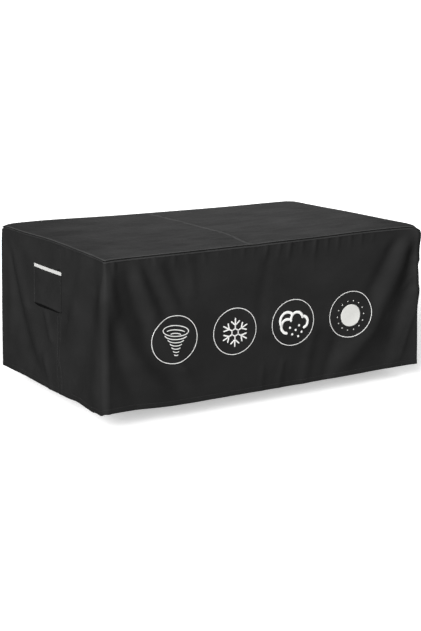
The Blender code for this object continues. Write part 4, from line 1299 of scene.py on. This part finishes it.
class COVER_OT_stitching(bpy.types.Operator):
    """Make the rows of stitches along the hem, the seams and the vent"""

    bl_idname = "cover.stitching"
    bl_label = "Stitching"

    def execute(self, context):
        sizes, colours = context.scene.cover_sizes, context.scene.cover_colours
        stitches = context.scene.cover_stitches
        thread = finish_named("bonded_thread", sewing_thread, tuple(colours.thread))
        rows_by_piece = {
            "hem_stitches": (self.hem_rows(sizes, stitches), "skirt_cloth"),
            "top_stitches": (self.top_rows(sizes, stitches), "top_cloth"),
            "vent_stitches": (self.vent_rows(sizes, stitches), "skirt_cloth"),
        }
        for name, (found, slot) in rows_by_piece.items():
            points, faces = joined(found)
            faces = [list(dict.fromkeys(face)) for face in faces.tolist()]
            piece(name, points, faces, thread)
        return {"FINISHED"}

    def hem_rows(self, sizes, stitches):
        """One row round the hem, and two down each end seam."""
        runs = np.concatenate([columns(), [columns()[0] + ROUND]])
        hem = hem_height(sizes, runs) + sizes.hem - HEM_ROW_INSIDE
        found = [row_on_skirt(sizes, stitches, runs, hem, ON_CLOTH)]
        furthest = SEAM_ASIDE + SEAM_ROW_SHARE * SEAM_HALF
        for wall, onward, start in (("left", 1, FLAP_LOW.z - ROW_OFF_FLAP), ("right", -1, ROW_BELOW_EDGE)):
            for pinch in END_PINCHES:
                run = run_of(wall, END_SEAM_Y) + onward * min(pinch.aside, furthest)
                z = spaced(start, FRAME_SHEET - sizes.drop + ROW_OFF_HEM, SEAM_ROW_STEP)
                found.append(row_on_skirt(sizes, stitches, run, z, ON_STRIP))
        return found

    def top_rows(self, sizes, stitches):
        """One row on the lip of the top edge, and two on the seam across the top."""
        runs = np.concatenate([columns(), [columns()[0] + ROUND]])
        plan, outward = wall_plan(sizes, runs, 0.0)
        inward, height = ON_LIP
        path = np.column_stack([plan - outward * inward, top_height(plan[:, 0], plan[:, 1]) + height])
        found = [stitch_row(stitches, path, upward(len(runs)))]
        y = spaced(CROSS_ROW_ENDS - HALF_WIDTH, HALF_WIDTH - CROSS_ROW_ENDS, CROSS_SEAM_STEP)
        for aside, height in ON_CROSS_SEAM:
            path = top_face(sizes, top_seam_x(y) + aside, y) + np.array([0.0, 0.0, height])
            found.append(stitch_row(stitches, path, upward(len(y))))
        return found

    def vent_rows(self, sizes, stitches):
        """One row down each side of the flap."""
        z = spaced(FLAP_HIGH.z - FLAP_ROW_ENDS[0], FLAP_LOW.z + FLAP_ROW_ENDS[1], 0.006)
        found = []
        for y in (FLAP_HIGH.y - FLAP_ROW_INSIDE, FLAP_LOW.y + FLAP_ROW_INSIDE):
            path = np.stack([wall_x(sizes, z) - FLAP_ROW_OFF, np.full(len(z), y), z], axis=-1)
            found.append(stitch_row(stitches, path, np.tile([-1.0, 0.0, 0.0], (len(z), 1))))
        return found


# The prints

SECOND_INK, INK_THICKNESS = 0.00004, 0.0002  # how much higher the motifs' ink lies, and how thick it is
LINE_TIP = 0.12  # how wide a round end still is at its tip, as a share of its line
WHIRL_TURN = -8.0  # degrees: the funnel's mouth dips to the right
WHIRL_ASIDE, WHIRL_MOUTH_Z = 0.005, 0.040  # its mouth's middle, from the ring's
Arc = namedtuple("Arc", "half_width half_height drop")
MOUTH = Arc(0.068, 0.0250, 0.0)
MOUTH_ARCS = (Arc(0.049, 0.011, 0.006), Arc(0.028, 0.007, 0.018))
FUNNEL_WIDTH, FUNNEL_SHRINKS, FUNNEL_TAPER, FUNNEL_FLATNESS = 0.060, 0.74, 0.00015, 0.36
FUNNEL_FIRST, FUNNEL_STEP = 0.040, 0.0148  # how far below the mouth the first arc ends; the next ones
SNOW_Z, SNOW_TURN = -0.005, radians(88)  # its middle, from the ring's, and the way that an arm points
SNOW_ARM, SNOW_HUB, SNOW_FORK, SNOW_FORK_LENGTH = 0.066, 0.018, 0.034, 0.0270
FORK_ANGLE, HUB_LINE = radians(47), 0.8
SNOW_STRETCH = 1.11  # the snowflake is printed a little wider than high
CLOUD_Z, CLOUD_LINE = -0.006, 2.0  # its line is twice as wide as a bold one
Lobe = namedtuple("Lobe", "x z radius start end")  # from the cloud's middle, with angles in degrees
LOBES = (
    Lobe(-0.034, -0.009, 0.034, 262, 72), Lobe(0.022, 0.020, 0.034, 186, 12),
    Lobe(0.058, 0.002, 0.028, 98, -76), Lobe(-0.033, 0.018, 0.041, 216, 46),
)
DROPS = (
    (-0.018, -0.018), (0.035, -0.013), (0.015, -0.033), (0.050, -0.046), (-0.005, -0.052), (0.030, -0.065),
)
DROP_RADIUS = 0.0058
SUN_Z, SUN_DISC = -0.006, (0.060, 0.055)
RAY_DOTS, RAYS_OUT, RAY_DOT = 14, (0.081, 0.074), 0.0033


def line_of(points_x, points_z, width, closed=False):
    """A printed line: its two edges run half its width to each side, and open ends are round.

    Returns plan pairs (x, z) as a grid of five points across by the path's points along.
    """
    path = np.column_stack([points_x, points_z])
    if not closed:
        start, end = unit(path[:1] - path[1:2]), unit(path[-1:] - path[-2:-1])
        quarter = np.linspace(0.0, pi / 2, 5)[1:]
        cap = np.sin(quarter)[:, None] * width / 2
        path = np.concatenate([path[:1] + start * cap[::-1], path, path[-1:] + end * cap])
        taper = np.maximum(np.cos(quarter), LINE_TIP)
        spread = np.concatenate([taper[::-1], np.ones(len(points_x)), taper])
        along = np.gradient(path, axis=0)
        along[:4], along[-4:] = -start, end
    else:
        spread = np.ones(len(path))
        along = np.roll(path, -1, axis=0) - np.roll(path, 1, axis=0)
    along = unit(along)
    across = np.column_stack([-along[:, 1], along[:, 0]])
    offsets = np.linspace(-0.5, 0.5, 5) * width
    return path[:, None] + across[:, None] * (offsets[None, :, None] * spread[:, None, None]), closed


def arc(x, z, half_width, half_height, start, end, step=0.004, turn=0.0):
    """Points along part of an ellipse, from a start angle to an end angle in degrees."""
    around = radians(end - start)
    count = max(6, int(abs(around) * max(half_width, half_height) / step) + 1)
    angle = radians(start) + np.linspace(0.0, around, count)
    across, up = half_width * np.cos(angle), half_height * np.sin(angle)
    tilt = radians(turn)
    return x + across * cos(tilt) - up * sin(tilt), z + across * sin(tilt) + up * cos(tilt)


def dot(x, z, half_width, half_height, divisions):
    """A filled ellipse from a square grid: each coordinate is drawn in as the other one grows."""
    u, v = np.meshgrid(np.linspace(-1, 1, divisions), np.linspace(-1, 1, divisions))
    across, up = half_width * u * np.sqrt(1 - v**2 / 2), half_height * v * np.sqrt(1 - u**2 / 2)
    return np.stack([x + across, z + up], axis=-1), False


def straight(first, second):
    """Points along a straight line, as their x and their z."""
    share = np.linspace(0.0, 1.0, 12)
    return tuple(start + (end - start) * share for start, end in zip(first, second))


def ring_lines(ring, prints):
    """The ring itself: a closed ellipse."""
    x, z = arc(ring.x, ring.z, ring.half_width, ring.half_height, 0, 360, 0.004, ring.turn)
    return [line_of(x[:-1], z[:-1], prints.ring_line, closed=True)]


def whirl_lines(ring, prints):
    """A funnel of wind: an open ellipse at its mouth, and arcs below that shrink evenly."""
    middle, mouth_z = ring.x + WHIRL_ASIDE, ring.z + WHIRL_MOUTH_Z
    x, z = arc(middle, mouth_z, MOUTH.half_width, MOUTH.half_height, 0, 360, turn=WHIRL_TURN)
    found = [line_of(x[:-1], z[:-1], prints.motif_line, closed=True)]
    for half_width, half_height, drop in MOUTH_ARCS:
        x, z = arc(middle, mouth_z - drop, half_width, half_height, 20, 160, turn=WHIRL_TURN)
        found.append(line_of(x, z, prints.motif_line))
    for order in range(6):
        half_width = FUNNEL_WIDTH * FUNNEL_SHRINKS**order - FUNNEL_TAPER * order**2
        half_height = FUNNEL_FLATNESS * half_width
        drop = FUNNEL_FIRST + FUNNEL_STEP * order - half_height
        x, z = arc(middle, mouth_z - drop, half_width, half_height, 195, 345, turn=WHIRL_TURN)
        found.append(line_of(x, z, prints.motif_line))
    return found


def snowflake_lines(ring, prints):
    """Six arms, each forked once, round a six-sided hub."""
    sixth = radians(60)
    fork_tip = SNOW_FORK + SNOW_FORK_LENGTH * cos(FORK_ANGLE)
    fork_aside = SNOW_FORK_LENGTH * sin(FORK_ANGLE)

    def placed(turn, out, aside):
        across, up = out * cos(turn) - aside * sin(turn), out * sin(turn) + aside * cos(turn)
        return ring.x + SNOW_STRETCH * across, ring.z + SNOW_Z + up

    found = []
    for order in range(6):
        turn = sixth * order + SNOW_TURN
        hub = placed(turn, SNOW_HUB, 0.0)
        fork = placed(turn, SNOW_FORK, 0.0)
        found.append(line_of(*straight(hub, placed(turn, SNOW_ARM, 0.0)), prints.bold_line))
        for side in (-1, 1):
            tip = placed(turn, fork_tip, side * fork_aside)
            found.append(line_of(*straight(fork, tip), prints.bold_line))
        next_hub = placed(turn, SNOW_HUB * cos(sixth), SNOW_HUB * sin(sixth))
        found.append(line_of(*straight(hub, next_hub), prints.bold_line * HUB_LINE))
    return found


def cloud_lines(ring, prints):
    """Two clouds, the near one open below, over six falling drops."""
    x, z = ring.x, ring.z + CLOUD_Z
    found = []
    for lobe in LOBES:
        outline = arc(x + lobe.x, z + lobe.z, lobe.radius, lobe.radius, lobe.start, lobe.end)
        found.append(line_of(*outline, prints.bold_line * CLOUD_LINE))
    for across, up in DROPS:
        found.append(dot(x + across, z + up, DROP_RADIUS, DROP_RADIUS, 7))
    return found


def sun_lines(ring, prints):
    """A disc ringed by small dots."""
    x, z = ring.x, ring.z + SUN_Z
    found = [dot(x, z, *SUN_DISC, 31)]
    for order in range(RAY_DOTS):
        turn = tau * order / RAY_DOTS
        found.append(dot(x + RAYS_OUT[0] * cos(turn), z + RAYS_OUT[1] * sin(turn), RAY_DOT, RAY_DOT, 5))
    return found


MOTIFS = {"whirl": whirl_lines, "snowflake": snowflake_lines, "cloud": cloud_lines, "sun": sun_lines}


class COVER_OT_prints(bpy.types.Operator):
    """Make the four printed rings and their weather motifs on the front wall"""

    bl_idname = "cover.prints"
    bl_label = "Prints"

    def execute(self, context):
        sizes, prints = context.scene.cover_sizes, context.scene.cover_prints
        colours = context.scene.cover_colours
        ink = finish_named("plastisol_ink", screen_ink, tuple(colours.ink))
        disc_ink = finish_named("plastisol_ink_thin", screen_ink, tuple(colours.disc))
        for ring in RINGS:
            self.make_print(f"{ring.motif}_ring_print", ring_lines(ring, prints), sizes, prints.proud, ink)
            motif_ink = disc_ink if ring.motif == "sun" else ink
            lines, proud = MOTIFS[ring.motif](ring, prints), prints.proud + SECOND_INK
            self.make_print(f"{ring.motif}_print", lines, sizes, proud, motif_ink)
        return {"FINISHED"}

    def make_print(self, name, lines, sizes, proud, ink):
        """The flat lines laid on the wall, each point carried out along the cloth's normal."""
        parts = []
        for grid, closed in lines:
            x, z = grid[..., 0], grid[..., 1] + FRAME_SHEET
            points = on_skirt(sizes, x, z, proud + 0 * x)
            parts.append((points, facing_front(points, grid_faces(*grid.shape[:2], loop_down=closed))))
        points, faces = joined(parts)
        piece(name, points, faces, ink, None, INK_THICKNESS)


def facing_front(points, faces):
    """The faces, each turned over if the cross product of its diagonals looks away from the front."""
    corners = points.reshape(-1, 3)[faces]
    looks = np.cross(corners[:, 2] - corners[:, 0], corners[:, 3] - corners[:, 1])
    return np.where(looks[:, 1:2] > 0, faces[:, ::-1], faces)


# The stage


class COVER_OT_stage(bpy.types.Operator):
    """Set the pale floor, the soft light and the camera"""

    bl_idname = "cover.stage"
    bl_label = "Stage"

    def execute(self, context):
        scene = context.scene
        settings, sizes = scene.cover_stage, scene.cover_sizes
        self.make_floor(FRAME_SHEET - sizes.drop - settings.below_hem)
        self.make_light(scene, settings)
        scene.world = self.make_sky(settings.sky)
        self.make_camera(scene, settings)
        scene.view_settings.view_transform = "Standard"
        return {"FINISHED"}

    def make_floor(self, height):
        """A round floor that curves up far away. It only faces the camera, so it lights nothing."""
        side = np.linspace(-1, 1, FLOOR_DIVISIONS)
        u, v = np.meshgrid(side, side)
        x, y = FLOOR_REACH * u * np.sqrt(1 - v**2 / 2), FLOOR_REACH * v * np.sqrt(1 - u**2 / 2)
        z = height + FLOOR_RISE * smooth((np.hypot(x, y) - FLOOR_LEVEL) / FLOOR_CURVE)
        mesh = bpy.data.meshes.new("studio_floor")
        faces = grid_faces(FLOOR_DIVISIONS, FLOOR_DIVISIONS)[:, ::-1]
        mesh.from_pydata(np.stack([x, y, z], axis=-1).reshape(-1, 3).tolist(), [], faces.tolist())
        mesh.shade_smooth()
        mesh.materials.append(studio_paper("background_paper"))
        floor = bpy.data.objects.new("studio_floor", mesh)
        bpy.context.scene.collection.objects.link(floor)
        floor.visible_diffuse = False
        floor.visible_glossy = False
        floor.visible_shadow = False

    def make_light(self, scene, settings):
        """A soft key light, the light that the floor throws up, and a soft box from behind."""
        for sun in SUNS:
            light = bpy.data.lights.new(sun.name, "SUN")
            light.energy = getattr(settings, sun.name)
            light.angle = radians(sun.spread)
            lamp = bpy.data.objects.new(sun.name, light)
            lamp.rotation_euler = Vector(sun.direction).to_track_quat("Z", "Y").to_euler()
            scene.collection.objects.link(lamp)
        soft_box = bpy.data.lights.new("back", "AREA")
        soft_box.energy = settings.back
        soft_box.shape = "RECTANGLE"
        soft_box.size, soft_box.size_y = BACK_LIGHT_SIZE
        lamp = bpy.data.objects.new("back", soft_box)
        lamp.location = BACK_LIGHT_AT
        away = Vector(BACK_LIGHT_AT) - Vector(BACK_LIGHT_AIM)
        lamp.rotation_euler = away.to_track_quat("Z", "Y").to_euler()
        lamp.visible_camera = False
        scene.collection.objects.link(lamp)

    def make_sky(self, strength):
        """A sky that is bright overhead only."""
        world = bpy.data.worlds.new("soft_sky")
        world.use_nodes = True
        tree = world.node_tree
        tree.nodes.clear()
        place = add_node(tree, "ShaderNodeTexCoord").outputs["Generated"]
        height = add_node(tree, "ShaderNodeSeparateXYZ", {"Vector": place}).outputs["Z"]
        bright = ranged(tree, height, SKY_HEIGHTS, (strength * SKY_AT_HORIZON, strength))
        sky = add_node(tree, "ShaderNodeBackground", {"Color": (1, 1, 1, 1), "Strength": bright})
        add_node(tree, "ShaderNodeOutputWorld", {"Surface": sky.outputs["Background"]})
        return world

    def make_camera(self, scene, settings):
        """The camera looks at a point a little below the cover's middle, through a long lens."""
        lens = bpy.data.cameras.new("camera")
        lens.lens, lens.sensor_width = LENS_MM, SENSOR_MM
        around, above = settings.azimuth, settings.elevation
        back = Vector((sin(around) * cos(above), -cos(around) * cos(above), sin(above)))
        camera = bpy.data.objects.new("camera", lens)
        camera.location = Vector(CAMERA_AIM) + back * settings.distance
        camera.rotation_euler = back.to_track_quat("Z", "Y").to_euler()
        scene.collection.objects.link(camera)
        scene.camera = camera


class COVER_PT_sidebar(bpy.types.Panel):
    """The cover's settings and the buttons that make its pieces"""

    bl_idname = "COVER_PT_sidebar"
    bl_label = "Patio cover"
    bl_space_type = "VIEW_3D"
    bl_region_type = "UI"
    bl_category = "Patio cover"

    def draw(self, context):
        scene = context.scene
        for settings in (scene.cover_sizes, scene.cover_stitches, scene.cover_prints,
                         scene.cover_colours, scene.cover_stage):
            box = self.layout.box()
            for name in settings.__annotations__:
                box.prop(settings, name)
        for operator in OPERATORS:
            self.layout.operator(operator.bl_idname)


OPERATORS = (COVER_OT_top_cloth, COVER_OT_skirt_cloth, COVER_OT_vent, COVER_OT_seams, COVER_OT_stitching,
             COVER_OT_prints, COVER_OT_stage)
GROUPS = {"cover_sizes": CoverSizes, "cover_stitches": StitchSizes, "cover_prints": PrintSizes,
          "cover_colours": CoverColours, "cover_stage": StageSettings}


def register():
    for kind in (*GROUPS.values(), *OPERATORS, COVER_PT_sidebar):
        bpy.utils.register_class(kind)
    for name, kind in GROUPS.items():
        setattr(bpy.types.Scene, name, bpy.props.PointerProperty(type=kind))


def unregister():
    for name in GROUPS:
        delattr(bpy.types.Scene, name)
    for kind in (COVER_PT_sidebar, *reversed(OPERATORS), *GROUPS.values()):
        bpy.utils.unregister_class(kind)


def main():
    register()
    bpy.ops.cover.top_cloth()
    bpy.ops.cover.skirt_cloth()
    bpy.ops.cover.vent()
    bpy.ops.cover.seams()
    bpy.ops.cover.stitching()
    bpy.ops.cover.prints()
    bpy.ops.cover.stage()
    bpy.context.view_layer.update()


if __name__ == "__main__":
    main()
